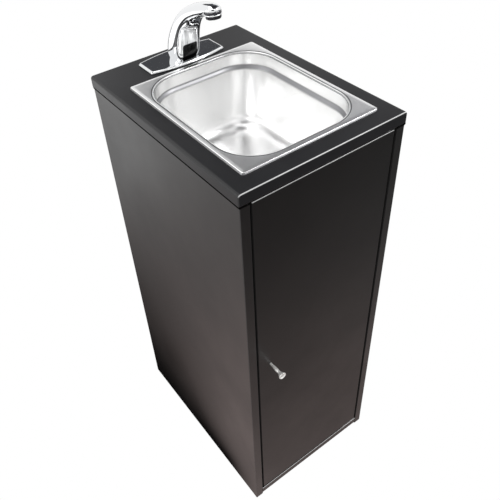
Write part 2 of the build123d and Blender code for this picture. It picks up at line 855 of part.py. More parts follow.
def make_rocker():
    """Rocker with two shallow flats, resting in its off position."""
    start = (-rocker_width / 2, 0, 0)
    drum = bar(start, (1, 0, 0), rocker_width, rocker_radius)
    reach = rocker_inset + rocker_proud
    for side in (-1, 1):
        flat = Pos(0, -reach - rocker_radius, 0) * Box(2 * rocker_width, 2 * rocker_radius, 4 * rocker_radius)
        drum -= Rot(side * rocker_tilt, 0, 0) * flat
    pin = rocker_width + 2 * rocker_pin_length
    drum += bar((-pin / 2, 0, 0), (1, 0, 0), pin, rocker_pin_radius)
    return Pos(rocker_x, rocker_y, rocker_z) * Rot(-rocker_tilt, 0, 0) * drum


# ---------------------------------------------------------------- hoses and leads
tail_mouth = pan_floor - drain_thread_length - tail_collar / 2 - tail_height
fresh_x = tank_centre(-1)
waste_x = tank_centre(1)
elbow_top = port_z + port_radius + 4
drain_fall = tail_mouth - tank_top
line_y = faucet_hole_y - line_setback
cable_entry_x = control_left + cable_from_edge
suction_route = [
    (port_x, port_front - port_stub, port_z), (port_x, port_front - suction_run, port_z),
    (fresh_x, neck_y, port_z), (fresh_x, neck_y, tank_low + dip_gap),
]
drain_route = [
    (0, pan_centre_y, tail_mouth + tail_height - drain_wall),
    (0, pan_centre_y, tail_mouth - drain_fall / 4),
    (waste_x, neck_y, tail_mouth - drain_fall / 2), (waste_x, neck_y, neck_top - drain_hose_depth),
]
pressure_route = [
    (port_x, elbow_y, elbow_top), (port_x, elbow_y, elbow_top + pressure_rise),
    (inlet_x, fitting_y, control_bottom - line_rise),
    (inlet_x, fitting_y, control_bottom - fitting_collar_length),
]
supply_route = [
    (outlet_x, fitting_y, control_top + fitting_collar_length),
    (outlet_x, fitting_y, control_top + line_rise),
    (supply_offset, line_y, deck_top - line_drop), (supply_offset, line_y, deck_top),
]
cable_route = [
    (cable_entry_x, fitting_y, control_top), (cable_entry_x, fitting_y, control_top + line_rise),
    (-cable_offset, line_y, deck_top - line_drop), (-cable_offset, line_y, deck_top),
]
lead_x = terminal_x - terminal_spacing / 2
lead_y = switch_back - lead_setback
lead_floor = shelf_top + 3 * lead_radius
motor_lead_x = motor_right - motor_lead_inset
motor_lead_z = base_top + motor_lead_height
battery_lead = [
    (lead_x, terminal_y, battery_top + terminal_height), (lead_x, terminal_y, battery_top + lead_crest),
    (rocker_x, lead_y, battery_top + lead_crest / 2), (rocker_x, lead_y, switch_top),
]
motor_lead = [
    (switch_left + 1, lead_y, shelf_top + lead_setback),
    (switch_left - motor_lead_run, lead_y - 2 * lead_bow, lead_floor),
    (motor_lead_x + 2 * lead_bow, lead_y - lead_bow, lead_floor),
    (motor_lead_x, base_front + lead_bow, motor_lead_z),
    (motor_lead_x, pump_y - motor_radius + 2 * lead_bow, motor_lead_z),
]


def bend_radii(points, share=0.45):
    """Largest arc for each corner of a route."""
    radii = []
    for a, b, c in zip(points, points[1:], points[2:]):
        run_in = Vector(*b) - Vector(*a)
        run_out = Vector(*c) - Vector(*b)
        turn = math.radians(run_in.get_angle(run_out))
        radii.append(share * min(run_in.length, run_out.length) / math.tan(turn / 2))
    return radii


def make_clamp(place, direction, radius):
    """Worm-drive clamp round a hose."""
    band = ring(place, direction, clamp_width, radius + clamp_thickness, radius)
    plane = Plane(origin=place, z_dir=direction)
    housing = plane * Pos(0, radius + clamp_thickness + clamp_housing / 2 - 0.5, clamp_width / 2)
    return band + housing * Box(clamp_housing + 3, clamp_housing, clamp_width)


# ---------------------------------------------------------------- assembly
nodes = {}

dowels = make_dowels()
glides = make_glides()
top_board = make_top_board()
left_side = make_side_board(-1)
right_side = make_side_board(1)
bottom_board = block(-side_in, side_in, front_y, back_y, bottom_low, floor_in)
bottom_board = fillet(bottom_board.edges().filter_by(Axis.X).group_by(Axis.Y)[0], board_edge_radius)
back_board = block(-side_in, side_in, back_in, back_y, floor_in, under_top)
front_rail = block(-side_in, side_in, rail_front, rail_back, under_top - rail_height, under_top)
shelf = block(-side_in, side_in, shelf_front, back_in, shelf_height, shelf_top)

battens = []
shelf_battens = []
batten_screws = []
for side in (-1, 1):
    low, high = sorted((side * side_in, side * (side_in - batten_size)))
    battens.append(block(low, high, rail_back, back_in, under_top - batten_size, under_top))
    start = shelf_front + batten_size
    shelf_battens.append(block(low, high, start, back_in, shelf_height - batten_size, shelf_height))
    x = side * (side_in - batten_size / 2)
    for y in (rail_back + 3 * batten_size, back_in - 3 * batten_size):
        place = (x, y, under_top - batten_size)
        batten_screws.append(screw(place, (0, 0, 1), length=batten_size + screw_length))

door_board = block(-door_right, door_right, door_front, door_back, door_low, door_high)
door_board = fillet(door_board.edges(), board_edge_radius)
door_knob = make_knob()
knob_x = -door_right + knob_from_edge
knob_screw = screw((knob_x, door_back, knob_height), (0, -1, 0), board_thickness + knob_screw_grip,
                   knob_screw_radius, knob_screw_head, knob_screw_head_height)
lower_pivot = make_pivot(floor_in, 1)
upper_pivot = make_pivot(under_top, -1)
bushes = [make_bush(door_low, 1), make_bush(door_high, -1)]
washer_low = floor_in + pivot_plate_thickness
washer_high = door_low - seat_gap
thrust_washer = ring((pivot_x, pivot_y, washer_low), (0, 0, 1), washer_high - washer_low,
                     pivot_radius + 2 * bush_wall, pivot_radius + pivot_clearance)
pivot_screws = []
for face_z, up in ((floor_in, 1), (under_top, -1)):
    first = side_in - pivot_plate_length + pivot_screw_from_end
    for x in (first, first + pivot_screw_spacing):
        place = (x, pivot_y + 1, face_z + up * pivot_plate_thickness)
        pivot_screws.append(screw(place, (0, 0, -up), pivot_screw_length, head_height=pivot_screw_head))

catch_front = door_back + strike_thickness + seat_gap + magnet_proud
catch_body = block(-side_in, -side_in + catch_width, catch_front, catch_front + catch_depth,
                   catch_height, catch_height + catch_length)
catch_body = fillet(catch_body.edges().filter_by(Axis.Y), 1.5)
magnet_low = catch_height + (catch_length - magnet_length) / 2
magnet_x = -side_in + strike_margin
magnet = block(magnet_x, -side_in + catch_width - strike_margin, catch_front - magnet_proud,
               catch_front + catch_depth / 2, magnet_low, magnet_low + magnet_length)
strike_low = magnet_low - strike_margin
strike = block(-door_right + strike_margin / 2, -side_in + catch_width, door_back,
               door_back + strike_thickness, strike_low, strike_low + magnet_length + 2 * strike_margin)
strike = fillet(strike.edges().filter_by(Axis.Y), 1.5)
catch_screws = []
for z in (catch_height + strike_margin + 1, catch_height + catch_length - strike_margin - 1):
    place = (-side_in + catch_width, catch_front + catch_depth / 2, z)
    catch_screws.append(screw(place, (-1, 0, 0), catch_width + screw_length))

basin_pan = make_pan()
drain_flange = make_drain_flange()
drain_gasket = ring((0, pan_centre_y, pan_floor - pan_wall - drain_gasket_thickness), (0, 0, 1),
                    drain_gasket_thickness, drain_nut_radius, drain_radius)
drain_nut = make_drain_nut()
tailpiece = make_tailpiece()

faucet_solid = make_faucet_solid()
prism = make_window_prism()
sensor_window = faucet_solid & prism
aerator = make_aerator()
faucet_body = faucet_solid - prism - make_aerator_seat()
deck_plate = make_deck_plate()
deck_gasket = extrude(deck_outline(deck_gasket_inset, top_height), deck_gasket_thickness)
deck_gasket -= bar((0, faucet_hole_y, top_height - 1), (0, 0, 1), 3, faucet_hole_radius)
stud = bar((0, faucet_hole_y + stud_offset, deck_top - stud_length), (0, 0, 1), stud_length, stud_radius)
mount_washer = make_washer() - stud
mount_nut = make_nut() - stud

control_base = block(control_left, control_right, control_split, back_in, control_bottom, control_top)
control_base = fillet(control_base.edges().filter_by(Axis.Y), control_cover_radius)
control_front = control_split - control_cover_depth
control_cover = block(control_left, control_right, control_front, control_split, control_bottom, control_top)
control_cover = fillet(control_cover.edges().filter_by(Axis.Y), control_cover_radius)
control_cover = fillet(control_cover.edges().group_by(Axis.Y)[0], control_cover_radius / 2)
control_screws = []
for x in (control_left + 10, control_right - 10):
    place = (x, control_front, (control_bottom + control_top) / 2)
    control_screws.append(screw(place, (0, 1, 0), control_cover_depth + screw_length))
fittings = [make_fitting(inlet_x, control_bottom, -1), make_fitting(outlet_x, control_top, 1)]

fresh_tank = make_tank(-1)
waste_tank = make_tank(1)
fresh_cap = make_cap(-1, suction_radius)
waste_cap = make_cap(1, drain_hose_radius)

pump_motor = make_motor()
pump_head = make_head()
pump_base = make_base()
pump_ports = make_ports()
pump_feet = [bar((x, y, shelf_top), (0, 0, 1), foot_height, foot_radius) for x, y in foot_places()]
foot_screw_length = base_thickness + foot_height + 8
pump_screws = [screw((x, y, base_top), (0, 0, -1), foot_screw_length) for x, y in foot_places()]
battery = make_battery()
terminals = make_terminals()
strap = make_strap()
switch_box = make_switch_box()
rocker = make_rocker()

suction_hose = hose(suction_route, bend_radii(suction_route), suction_radius) - pump_ports[0]
drain_hose = hose(drain_route, bend_radii(drain_route), drain_hose_radius) - tailpiece
pressure_hose = hose(pressure_route, bend_radii(pressure_route), pressure_radius)
pressure_hose = pressure_hose - pump_ports[1] - fittings[0]
supply_hose = hose(supply_route, bend_radii(supply_route), supply_radius) - fittings[1]
sensor_cable = hose(cable_route, bend_radii(cable_route), cable_radius)
leads = [hose(battery_lead, bend_radii(battery_lead), lead_radius) - switch_box,
         hose(motor_lead, bend_radii(motor_lead), lead_radius) - switch_box - pump_motor]

clamp_reach = clamp_width + clamp_setback
inlet_end = control_bottom - fitting_collar_length
clamps = [
    make_clamp((port_x, port_front - port_stub - clamp_reach, port_z), (0, 1, 0), suction_radius),
    make_clamp((port_x, elbow_y, elbow_top + clamp_setback), (0, 0, 1), pressure_radius),
    make_clamp((inlet_x, fitting_y, inlet_end - clamp_reach), (0, 0, 1), pressure_radius),
    make_clamp((0, pan_centre_y, tail_mouth + clamp_setback), (0, 0, 1), drain_hose_radius),
]

# Every dowel, nail, screw and bush sits in a hole of its own size in what holds it.
for dowel in dowels:
    left_side -= dowel
    right_side -= dowel
    bottom_board -= dowel
    back_board -= dowel
    front_rail -= dowel
for glide in glides:
    left_side -= glide
    right_side -= glide
for piece in batten_screws:
    top_board -= piece
    battens = [b - piece for b in battens]
for piece in pivot_screws:
    bottom_board -= piece
    top_board -= piece
    lower_pivot -= piece
    upper_pivot -= piece
for piece in catch_screws:
    catch_body -= piece
    left_side -= piece
for piece in pump_screws:
    pump_base -= piece
    pump_feet = [f - piece for f in pump_feet]
    shelf -= piece
for piece in control_screws:
    control_cover -= piece
    control_base -= piece
door_board -= knob_screw
bush_depth = pivot_engagement + pivot_end_play
bush_radius = pivot_radius + pivot_clearance + bush_wall
for edge_z, up in ((door_low, 1), (door_high, -1)):
    door_board -= bar((pivot_x, pivot_y, edge_z), (0, 0, up), bush_depth, bush_radius)
door_knob -= knob_screw
catch_body -= magnet

nodes["top_board"] = top_board
nodes["left_side_board"] = left_side
nodes["right_side_board"] = right_side
nodes["bottom_board"] = bottom_board
nodes["back_board"] = back_board
nodes["front_rail"] = front_rail
nodes["top_battens"] = battens
nodes["wood_screws"] = batten_screws + catch_screws + pump_screws + control_screws
nodes["panel_dowels"] = dowels
nodes["floor_glides"] = glides
nodes["equipment_shelf"] = shelf
nodes["shelf_battens"] = shelf_battens
nodes["door_board"] = door_board
nodes["door_knob"] = door_knob
nodes["knob_screw"] = knob_screw
nodes["lower_pivot"] = lower_pivot
nodes["upper_pivot"] = upper_pivot
nodes["pivot_bushes"] = bushes
nodes["pivot_thrust_washer"] = thrust_washer
nodes["pivot_screws"] = pivot_screws
nodes["catch_body"] = catch_body
nodes["catch_magnet"] = magnet
nodes["catch_strike"] = strike
nodes["basin_pan"] = basin_pan
nodes["drain_flange"] = drain_flange
nodes["drain_gasket"] = drain_gasket
nodes["drain_lock_nut"] = drain_nut
nodes["drain_tailpiece"] = tailpiece
nodes["drain_hose"] = drain_hose
nodes["faucet_body"] = faucet_body
nodes["sensor_window"] = sensor_window
nodes["aerator"] = aerator
nodes["deck_plate"] = deck_plate
nodes["deck_gasket"] = deck_gasket
nodes["faucet_stud"] = stud
nodes["horseshoe_washer"] = mount_washer
nodes["mounting_nut"] = mount_nut
nodes["sensor_cable"] = sensor_cable
nodes["supply_hose"] = supply_hose
nodes["control_box_base"] = control_base
nodes["control_box_cover"] = control_cover
nodes["control_box_fittings"] = fittings
nodes["fresh_tank"] = fresh_tank
nodes["fresh_tank_cap"] = fresh_cap
nodes["waste_tank"] = waste_tank
nodes["waste_tank_cap"] = waste_cap
nodes["pump_motor"] = pump_motor
nodes["pump_head"] = pump_head
nodes["pump_base"] = pump_base
nodes["pump_feet"] = pump_feet
nodes["pump_ports"] = pump_ports
nodes["suction_hose"] = suction_hose
nodes["pressure_hose"] = pressure_hose
nodes["battery"] = battery
nodes["battery_terminals"] = terminals
nodes["battery_strap"] = strap
nodes["power_leads"] = leads
nodes["switch_box"] = switch_box
nodes["switch_rocker"] = rocker
nodes["hose_clamps"] = clamps

for name, shape in nodes.items():
    solids = shape if isinstance(shape, list) else [shape]
    group = Compound(children=[s for piece in solids for s in piece.solids()])
    group.label = name
    export_step(group, "parts/" + name + ".step")
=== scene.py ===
import math
import bpy
import bmesh
from mathutils import Matrix, Vector
from mathutils.bvhtree import BVHTree


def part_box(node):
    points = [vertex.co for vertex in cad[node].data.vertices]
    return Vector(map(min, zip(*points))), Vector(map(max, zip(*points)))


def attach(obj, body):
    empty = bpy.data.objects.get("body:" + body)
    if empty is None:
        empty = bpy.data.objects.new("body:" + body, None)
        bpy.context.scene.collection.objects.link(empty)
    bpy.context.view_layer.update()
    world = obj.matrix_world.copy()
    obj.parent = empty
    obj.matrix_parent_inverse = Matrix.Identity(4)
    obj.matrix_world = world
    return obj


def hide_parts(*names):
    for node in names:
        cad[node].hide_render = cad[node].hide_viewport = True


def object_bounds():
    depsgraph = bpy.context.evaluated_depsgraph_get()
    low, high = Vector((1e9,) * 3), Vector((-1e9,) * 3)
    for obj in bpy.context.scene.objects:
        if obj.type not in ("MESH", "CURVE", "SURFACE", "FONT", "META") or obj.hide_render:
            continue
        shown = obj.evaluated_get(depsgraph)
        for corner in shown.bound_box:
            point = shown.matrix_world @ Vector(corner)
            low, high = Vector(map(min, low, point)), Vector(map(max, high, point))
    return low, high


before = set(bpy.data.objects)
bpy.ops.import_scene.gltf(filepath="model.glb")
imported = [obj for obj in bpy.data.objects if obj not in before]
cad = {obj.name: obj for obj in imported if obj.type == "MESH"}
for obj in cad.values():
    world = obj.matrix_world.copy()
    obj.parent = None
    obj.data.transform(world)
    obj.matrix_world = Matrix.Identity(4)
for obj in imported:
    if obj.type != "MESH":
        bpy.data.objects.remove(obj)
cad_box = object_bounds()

mm = 0.001


def linked(name, data):
    """New object with its data, linked into the scene."""
    piece = bpy.data.objects.new(name, data)
    bpy.context.scene.collection.objects.link(piece)
    return piece


def added(tree, kind, inputs, **settings):
    """New node of a tree; each input is set to a value or linked to another node's output."""
    node = tree.nodes.new(kind)
    for name, value in settings.items():
        setattr(node, name, value)
    for name, value in inputs.items():
        if isinstance(value, bpy.types.NodeSocket):
            tree.links.new(value, node.inputs[name])
        else:
            node.inputs[name].default_value = value
    return node


def parts_of(tree, vector):
    """X, Y and Z of a vector."""
    split = added(tree, "ShaderNodeSeparateXYZ", {0: vector})
    return [split.outputs[i] for i in range(3)]


# ---------------------------------------------------------------- camera
# A hand-held camera at the front left, above the basin, tilted down and rolled a little. Its
# frame is shifted so that the cabinet stands in the middle with its foot just inside.
eye = Vector((-0.5166, -0.7249, 1.3893))
azimuth = math.radians(33.16)
elevation = math.radians(40.95)
roll = math.radians(-4.24)

ahead = Vector((math.sin(azimuth) * math.cos(elevation), math.cos(azimuth) * math.cos(elevation),
                -math.sin(elevation)))
level = ahead.cross(Vector((0, 0, 1))).normalized()
above = level.cross(ahead)
right = level * math.cos(roll) + above * math.sin(roll)
upward = above * math.cos(roll) - level * math.sin(roll)
camera_data = bpy.data.cameras.new("camera")
camera_data.lens = 43.70
camera_data.sensor_width = 36.0
camera_data.shift_x = 0.0384
camera_data.shift_y = -0.0595
camera = linked("camera", camera_data)
turn = Matrix((right, upward, -ahead)).transposed()
camera.matrix_world = Matrix.Translation(eye) @ turn.to_4x4()
bpy.context.scene.camera = camera
bpy.context.scene.view_settings.view_transform = "Standard"


# ---------------------------------------------------------------- studio
# White paper floor and white surroundings. Gloss sees the floor dimmer, darkest where the
# cabinet stands over it, and a grey card at the far right. Three soft lamps light it all.
def sum_of(tree, one, two, operation="ADD"):
    """Two values joined by one sum."""
    return added(tree, "ShaderNodeMath", {0: one, 1: two}, operation=operation).outputs[0]


def ranged(tree, value, low, high, start=0.3, end=0.7, way="LINEAR"):
    """Value mapped from start..end to low..high."""
    ends = {"Value": value, "From Min": start, "From Max": end, "To Min": low, "To Max": high}
    return added(tree, "ShaderNodeMapRange", ends, interpolation_type=way).outputs["Result"]


def seen_white(tree, plain, shown, output, share=1.0):
    """Camera and glass see shown at full strength, gloss sees share of it, all else plain."""
    path = tree.nodes.new("ShaderNodeLightPath").outputs
    glossy = path["Is Glossy Ray"]
    clear = sum_of(tree, path["Is Camera Ray"], path["Is Transmission Ray"], "MAXIMUM")
    strength = sum_of(tree, clear, sum_of(tree, glossy, share, "MULTIPLY"), "MAXIMUM")
    tree.links.new(strength, shown.inputs["Strength"])
    mix = added(tree, "ShaderNodeMixShader", {0: sum_of(tree, clear, glossy, "MAXIMUM"),
                                              1: plain.outputs[0], 2: shown.outputs[0]})
    tree.links.new(mix.outputs[0], output)


world = bpy.data.worlds.new("studio")
world.use_nodes = True
world.cycles.sampling_method = "NONE"
bpy.context.scene.world = world
tree = world.node_tree
room = tree.nodes["Background"]
room.inputs["Color"].default_value = (1, 1, 1, 1)
room.inputs["Strength"].default_value = 0.42
walls = added(tree, "ShaderNodeBackground", {"Color": (1, 1, 1, 1)})
seen_white(tree, room, walls, tree.nodes["World Output"].inputs["Surface"])


def surface(name, colour, roughness, metallic=0.0):
    """New material with its Principled shader set; returns it, the shader and the tree."""
    material = bpy.data.materials.new(name)
    material.use_nodes = True
    shader = material.node_tree.nodes["Principled BSDF"]
    shader.inputs["Base Color"].default_value = (*colour, 1)
    shader.inputs["Roughness"].default_value = roughness
    shader.inputs["Metallic"].default_value = metallic
    return material, shader, material.node_tree


def backdrop(name, corners, material):
    """Flat piece of the studio."""
    mesh = bpy.data.meshes.new(name)
    mesh.from_pydata(corners, [], [(0, 1, 2, 3)])
    mesh.materials.append(material)
    piece = linked(name, mesh)
    return piece


# The floor's share for gloss, by place in metres from the cabinet's left side and front: about
# half of white, nothing in the cabinet's own shade, fading in front and brightest at the far left.
paper, sheet, tree = surface("studio_paper", (0.82, 0.82, 0.82), 0.9)
paper.cycles.emission_sampling = "NONE"
on_floor = tree.nodes.new("ShaderNodeTexCoord").outputs["Object"]
across, back = parts_of(tree, on_floor)[:2]
left_of = sum_of(tree, cad_box[0][0], across, "SUBTRACT")
before = sum_of(tree, cad_box[0][1], back, "SUBTRACT")
reach = ranged(tree, back, 0.04, 0.42, -0.15, 0.60, "SMOOTHSTEP")
lit = ranged(tree, sum_of(tree, left_of, reach, "DIVIDE"), 0.0, 1.0, 0.08, 1.0, "SMOOTHSTEP")
beside = ranged(tree, left_of, 0.0, 1.0, -0.10, -0.02)
along = ranged(tree, back, 0.0, 1.0, -0.24, -0.08, "SMOOTHSTEP")
shade = sum_of(tree, sum_of(tree, beside, along, "MULTIPLY"),
               sum_of(tree, 1.0, lit, "SUBTRACT"), "MULTIPLY")
fading = ranged(tree, before, 0.0, 0.85, 0.0, 0.75, "SMOOTHSTEP")
fading = sum_of(tree, fading, ranged(tree, across, 0.0, 1.0, -0.35, 0.05), "MULTIPLY")
far = ranged(tree, back, 0.0, 0.70, 0.7, 1.5, "SMOOTHSTEP")
far = sum_of(tree, far, ranged(tree, left_of, 0.0, 1.0, 0.05, 0.4), "MULTIPLY")
whole = sum_of(tree, sum_of(tree, beside, 0.20, "MULTIPLY"), sum_of(tree, far, 0.55))
share = sum_of(tree, sum_of(tree, 1.0, shade, "SUBTRACT"),
               sum_of(tree, 1.0, fading, "SUBTRACT"), "MULTIPLY")
share = sum_of(tree, share, whole, "MULTIPLY")
# Painted bounce light: near the cabinet's foot the floor that gloss sees is tinted warm.
from_foot = added(tree, "ShaderNodeVectorMath", {0: on_floor}, operation="LENGTH")
nearness = ranged(tree, from_foot.outputs["Value"], 1.0, 0.0, 0.4, 1.3)
glossy = tree.nodes.new("ShaderNodeLightPath").outputs["Is Glossy Ray"]
warm_bounce_tint = added(tree, "ShaderNodeMix", {
    "Factor": sum_of(tree, glossy, nearness, "MULTIPLY"),
    "A": (1, 1, 1, 1), "B": (1.0, 0.82, 0.785, 1)}, data_type="RGBA")
glow = added(tree, "ShaderNodeEmission", {"Color": warm_bounce_tint.outputs["Result"]})
seen_white(tree, sheet, glow, tree.nodes["Material Output"].inputs["Surface"], share)
half = 4.0
backdrop("studio_floor", [(-half, -half, 0), (half, -half, 0), (half, half, 0), (-half, half, 0)],
         paper)


def card(name, corners, left_glow, right_glow):
    """Card that only gloss sees; corners are metres along the plane behind the right of the
    object, metres above the floor and metres forward from that plane."""
    material, shader, tree = surface(name, (0, 0, 0), 1.0)
    material.cycles.emission_sampling = "NONE"
    tree.nodes.remove(shader)
    across = parts_of(tree, tree.nodes.new("ShaderNodeTexCoord").outputs["Object"])[0]
    glow = added(tree, "ShaderNodeEmission", {
        "Color": (0.90, 0.92, 1.0, 1),
        "Strength": ranged(tree, across, left_glow, right_glow, 0.7, 1.2)})
    tree.links.new(glow.outputs[0], tree.nodes["Material Output"].inputs["Surface"])
    start, along = Vector((0.934, 1.075, 0)), Vector((0.755, -0.656, 0))
    forward = Vector((-0.656, -0.755, 0))
    piece = backdrop(name, [start + along * run + forward * near + Vector((0, 0, high))
                            for run, high, near in corners], material)
    for ray in ("camera", "diffuse", "transmission", "shadow"):
        setattr(piece, "visible_" + ray, False)


card("studio_grey_card", [(-0.74, 1.60, 0), (0.95, 1.60, 0), (0.95, 2.25, 0), (-0.74, 2.25, 0)],
     0.09, 0.20)
card("studio_black_card", [(-0.66, 1.44, 0), (-0.17, 1.40, 0), (-0.17, 1.60, 0), (-0.66, 1.60, 0)],
     0.07, 0.07)
card("studio_black_screen", [(-0.15, 1.40, 2.25), (0.45, 1.40, 2.25), (0.45, 2.10, 2.0),
                             (-0.15, 2.10, 2.0)], 0.03, 0.03)
card("studio_black_roof", [(-0.60, 2.25, 0), (1.00, 2.25, 0), (1.00, 2.72, 2.0), (0.10, 2.72, 2.0)],
     0.03, 0.03)


def soft_lamp(name, place, target, width, power):
    """Square area lamp that faces a target."""
    data = bpy.data.lights.new(name, "AREA")
    data.size = width
    data.energy = power
    lamp = linked(name, data)
    lamp.location = place
    lamp.rotation_euler = (Vector(target) - Vector(place)).to_track_quat("-Z", "Y").to_euler()


soft_lamp("overhead_lamp", (0.1, 0.1, 2.9), (0, 0, 0.8), 2.4, 28)
soft_lamp("key_lamp", (1.7, -1.8, 2.6), (0, 0, 0.7), 0.7, 26)
soft_lamp("left_lamp", (-2.2, 0.7, 1.5), (0, 0, 0.6), 1.2, 14)


# ---------------------------------------------------------------- cabinet boards
# Chipboard faced with black melamine, edged in the same black, with a fine pebbled texture,
# slightly polished arrises, a painted highlight on the arrises that look up and forward and
# painted shade on the front upright arrises beside the door's gap. The boards are dowelled
# together and the top lies on the sides.
def object_place(tree, stretch=(1, 1, 1)):
    """Object coordinates, stretched by axis."""
    place = tree.nodes.new("ShaderNodeTexCoord").outputs["Object"]
    return added(tree, "ShaderNodeMapping", {"Vector": place, "Scale": stretch}).outputs["Vector"]


def noise(tree, place, scale, detail=3.0, rough=0.5):
    """Noise value at a place."""
    inputs = {"Vector": place, "Scale": scale, "Detail": detail, "Roughness": rough}
    return added(tree, "ShaderNodeTexNoise", inputs).outputs["Fac"]


def tinted(tree, shader, value, dark, light, start=0.3, end=0.7):
    """Base colour between two colours, by a value."""
    ramp = added(tree, "ShaderNodeValToRGB", {"Fac": value})
    for i, colour, position in ((0, dark, start), (1, light, end)):
        ramp.color_ramp.elements[i].color = (*colour, 1)
        ramp.color_ramp.elements[i].position = position
    tree.links.new(ramp.outputs["Color"], shader.inputs["Base Color"])
    return ramp.outputs["Color"]


def embossed(tree, shader, value, distance, strength=1.0):
    """Bump from a value; distance in metres. A second call lies on the first."""
    bump = added(tree, "ShaderNodeBump",
                 {"Height": value, "Distance": distance, "Strength": strength})
    under = shader.inputs["Normal"]
    if under.is_linked:
        tree.links.new(under.links[0].from_socket, bump.inputs["Normal"])
    tree.links.new(bump.outputs["Normal"], under)


def arris_masks(tree, gap_side):
    """Masks: 1 on any arris of a board, on an arris that looks up and forward, and on a front
    upright arris beside the door's gap; gap_side is 1 where that faces outwards, -1 inwards."""
    source = tree.nodes.new("ShaderNodeTexCoord")
    normal = parts_of(tree, source.outputs["Normal"])
    where = parts_of(tree, source.outputs["Object"])
    sizes = [sum_of(tree, part, 0.0, "ABSOLUTE") for part in normal]
    largest = sum_of(tree, sum_of(tree, sizes[0], sizes[1], "MAXIMUM"), sizes[2], "MAXIMUM")
    forward = sum_of(tree, 0.0, normal[1], "SUBTRACT")
    upper = sum_of(tree, forward, normal[2], "MINIMUM")
    outwards = sum_of(tree, where[0], normal[0], "MULTIPLY")
    outwards = sum_of(tree, outwards, gap_side, "MULTIPLY")
    gap = sum_of(tree, ranged(tree, outwards, 0.0, 1.0, 0.015, 0.035),
                 ranged(tree, where[1], 1.0, 0.0, -0.19, -0.18), "MULTIPLY")
    arris = ranged(tree, largest, 1.0, 0.0, 0.72, 0.985)
    return arris, ranged(tree, upper, 0.0, 1.0, 0.15, 0.55), gap


def dressed(node, material):
    """The CAD node keeps its shape and gets the material."""
    data = cad[node].data
    data.materials.clear()
    data.materials.append(material)


def overlaid(tree, mask, under, colour):
    """Colour laid over another by a mask."""
    inputs = {"Factor": mask, "A": under, "B": (*colour, 1)}
    return added(tree, "ShaderNodeMix", inputs, data_type="RGBA").outputs["Result"]


def melamine(name, dark, light, roughness, gloss, gap_side=0.0):
    """Black melamine board with pebbled gloss, faint cloudy wear, polished and lighter arrises, a
    painted highlight on arrises that look up and forward and painted shade beside the door's gap.
    """
    material, shader, tree = surface(name, dark, roughness)
    place = object_place(tree)
    face = tinted(tree, shader, noise(tree, place, 9.0, 4.0), dark, light)
    arris, upper, gap = arris_masks(tree, gap_side)
    edged = overlaid(tree, arris, face, (0.045, 0.045, 0.045))
    # Painted highlight: the arrises that look up and forward are painted near white.
    edged = overlaid(tree, upper, edged, (0.70, 0.70, 0.70))
    # Painted shade: the front upright arrises beside the door's gap are painted near black.
    edged = overlaid(tree, gap, edged, (0.0005, 0.0005, 0.0005))
    tree.links.new(edged, shader.inputs["Base Color"])
    embossed(tree, shader, noise(tree, place, 900.0, 2.0), 0.00012, 0.3)
    cloud = ranged(tree, noise(tree, place, 5.0, 5.0, 0.6), roughness - 0.05, roughness + 0.07)
    worn = sum_of(tree, cloud, sum_of(tree, arris, roughness - 0.16, "MULTIPLY"), "SUBTRACT")
    tree.links.new(sum_of(tree, worn, gap, "MAXIMUM"), shader.inputs["Roughness"])
    shader.inputs["Specular IOR Level"].default_value = gloss
    return material


side_melamine = melamine("side_melamine", (0.0030, 0.0026, 0.0025), (0.0052, 0.0044, 0.0042),
                         0.36, 0.53, -1.0)
top_melamine = melamine("top_melamine", (0.0095, 0.0095, 0.0108), (0.0140, 0.0140, 0.0158),
                        0.36, 0.28)
for node in ("left_side_board", "right_side_board", "bottom_board", "back_board", "front_rail",
             "equipment_shelf"):
    dressed(node, side_melamine)
dressed("top_board", top_melamine)


# ---------------------------------------------------------------- battens, dowels and glides
# Planed softwood battens under the top and the shelf, beech dowels in the joints, and grey
# nylon glides nailed under the side boards.
def timber(name, dark, light, along):
    """Planed wood with its grain along one axis."""
    material, shader, tree = surface(name, light, 0.62)
    stretch = tuple(2.0 if axis == along else 22.0 for axis in "xyz")
    place = object_place(tree, stretch)
    fibre = noise(tree, place, 9.0, 6.0, 0.65)
    tinted(tree, shader, fibre, dark, light)
    tree.links.new(ranged(tree, fibre, 0.70, 0.52), shader.inputs["Roughness"])
    embossed(tree, shader, fibre, 0.0002, 0.5)
    return material


softwood = timber("planed_softwood", (0.42, 0.27, 0.14), (0.66, 0.48, 0.29), "y")
beech = timber("beech_dowel", (0.44, 0.28, 0.17), (0.60, 0.42, 0.27), "x")
dressed("top_battens", softwood)
dressed("shelf_battens", softwood)
dressed("panel_dowels", beech)


def uneven(tree, shader, place, low, high, scale, detail):
    """Roughness that varies softly from low to high, by a noise's scale and detail."""
    value = ranged(tree, noise(tree, place, scale, detail), low, high)
    tree.links.new(value, shader.inputs["Roughness"])


def clouded(name, dark, light, cloud, gloss, grain=None, metallic=0.0):
    """Finish that varies softly: cloud is the noise between its two colours (scale, detail), gloss
    its roughness (low, high, scale, detail), grain a relief (scale, detail, depth, strength)."""
    middle = [(a + b) / 2 for a, b in zip(dark, light)]
    material, shader, tree = surface(name, middle, (gloss[0] + gloss[1]) / 2, metallic)
    place = object_place(tree)
    tinted(tree, shader, noise(tree, place, *cloud), dark, light)
    uneven(tree, shader, place, *gloss)
    if grain:
        embossed(tree, shader, noise(tree, place, *grain[:2]), *grain[2:])
    return material, shader, tree


nylon, shader, tree = clouded("grey_nylon", (0.40, 0.40, 0.39), (0.56, 0.56, 0.55), (60.0, 4.0),
                              (0.36, 0.52, 400.0, 2.0), (900.0, 2.0, 0.00006, 0.4))
for node in ("floor_glides", "pivot_bushes", "pivot_thrust_washer"):
    dressed(node, nylon)


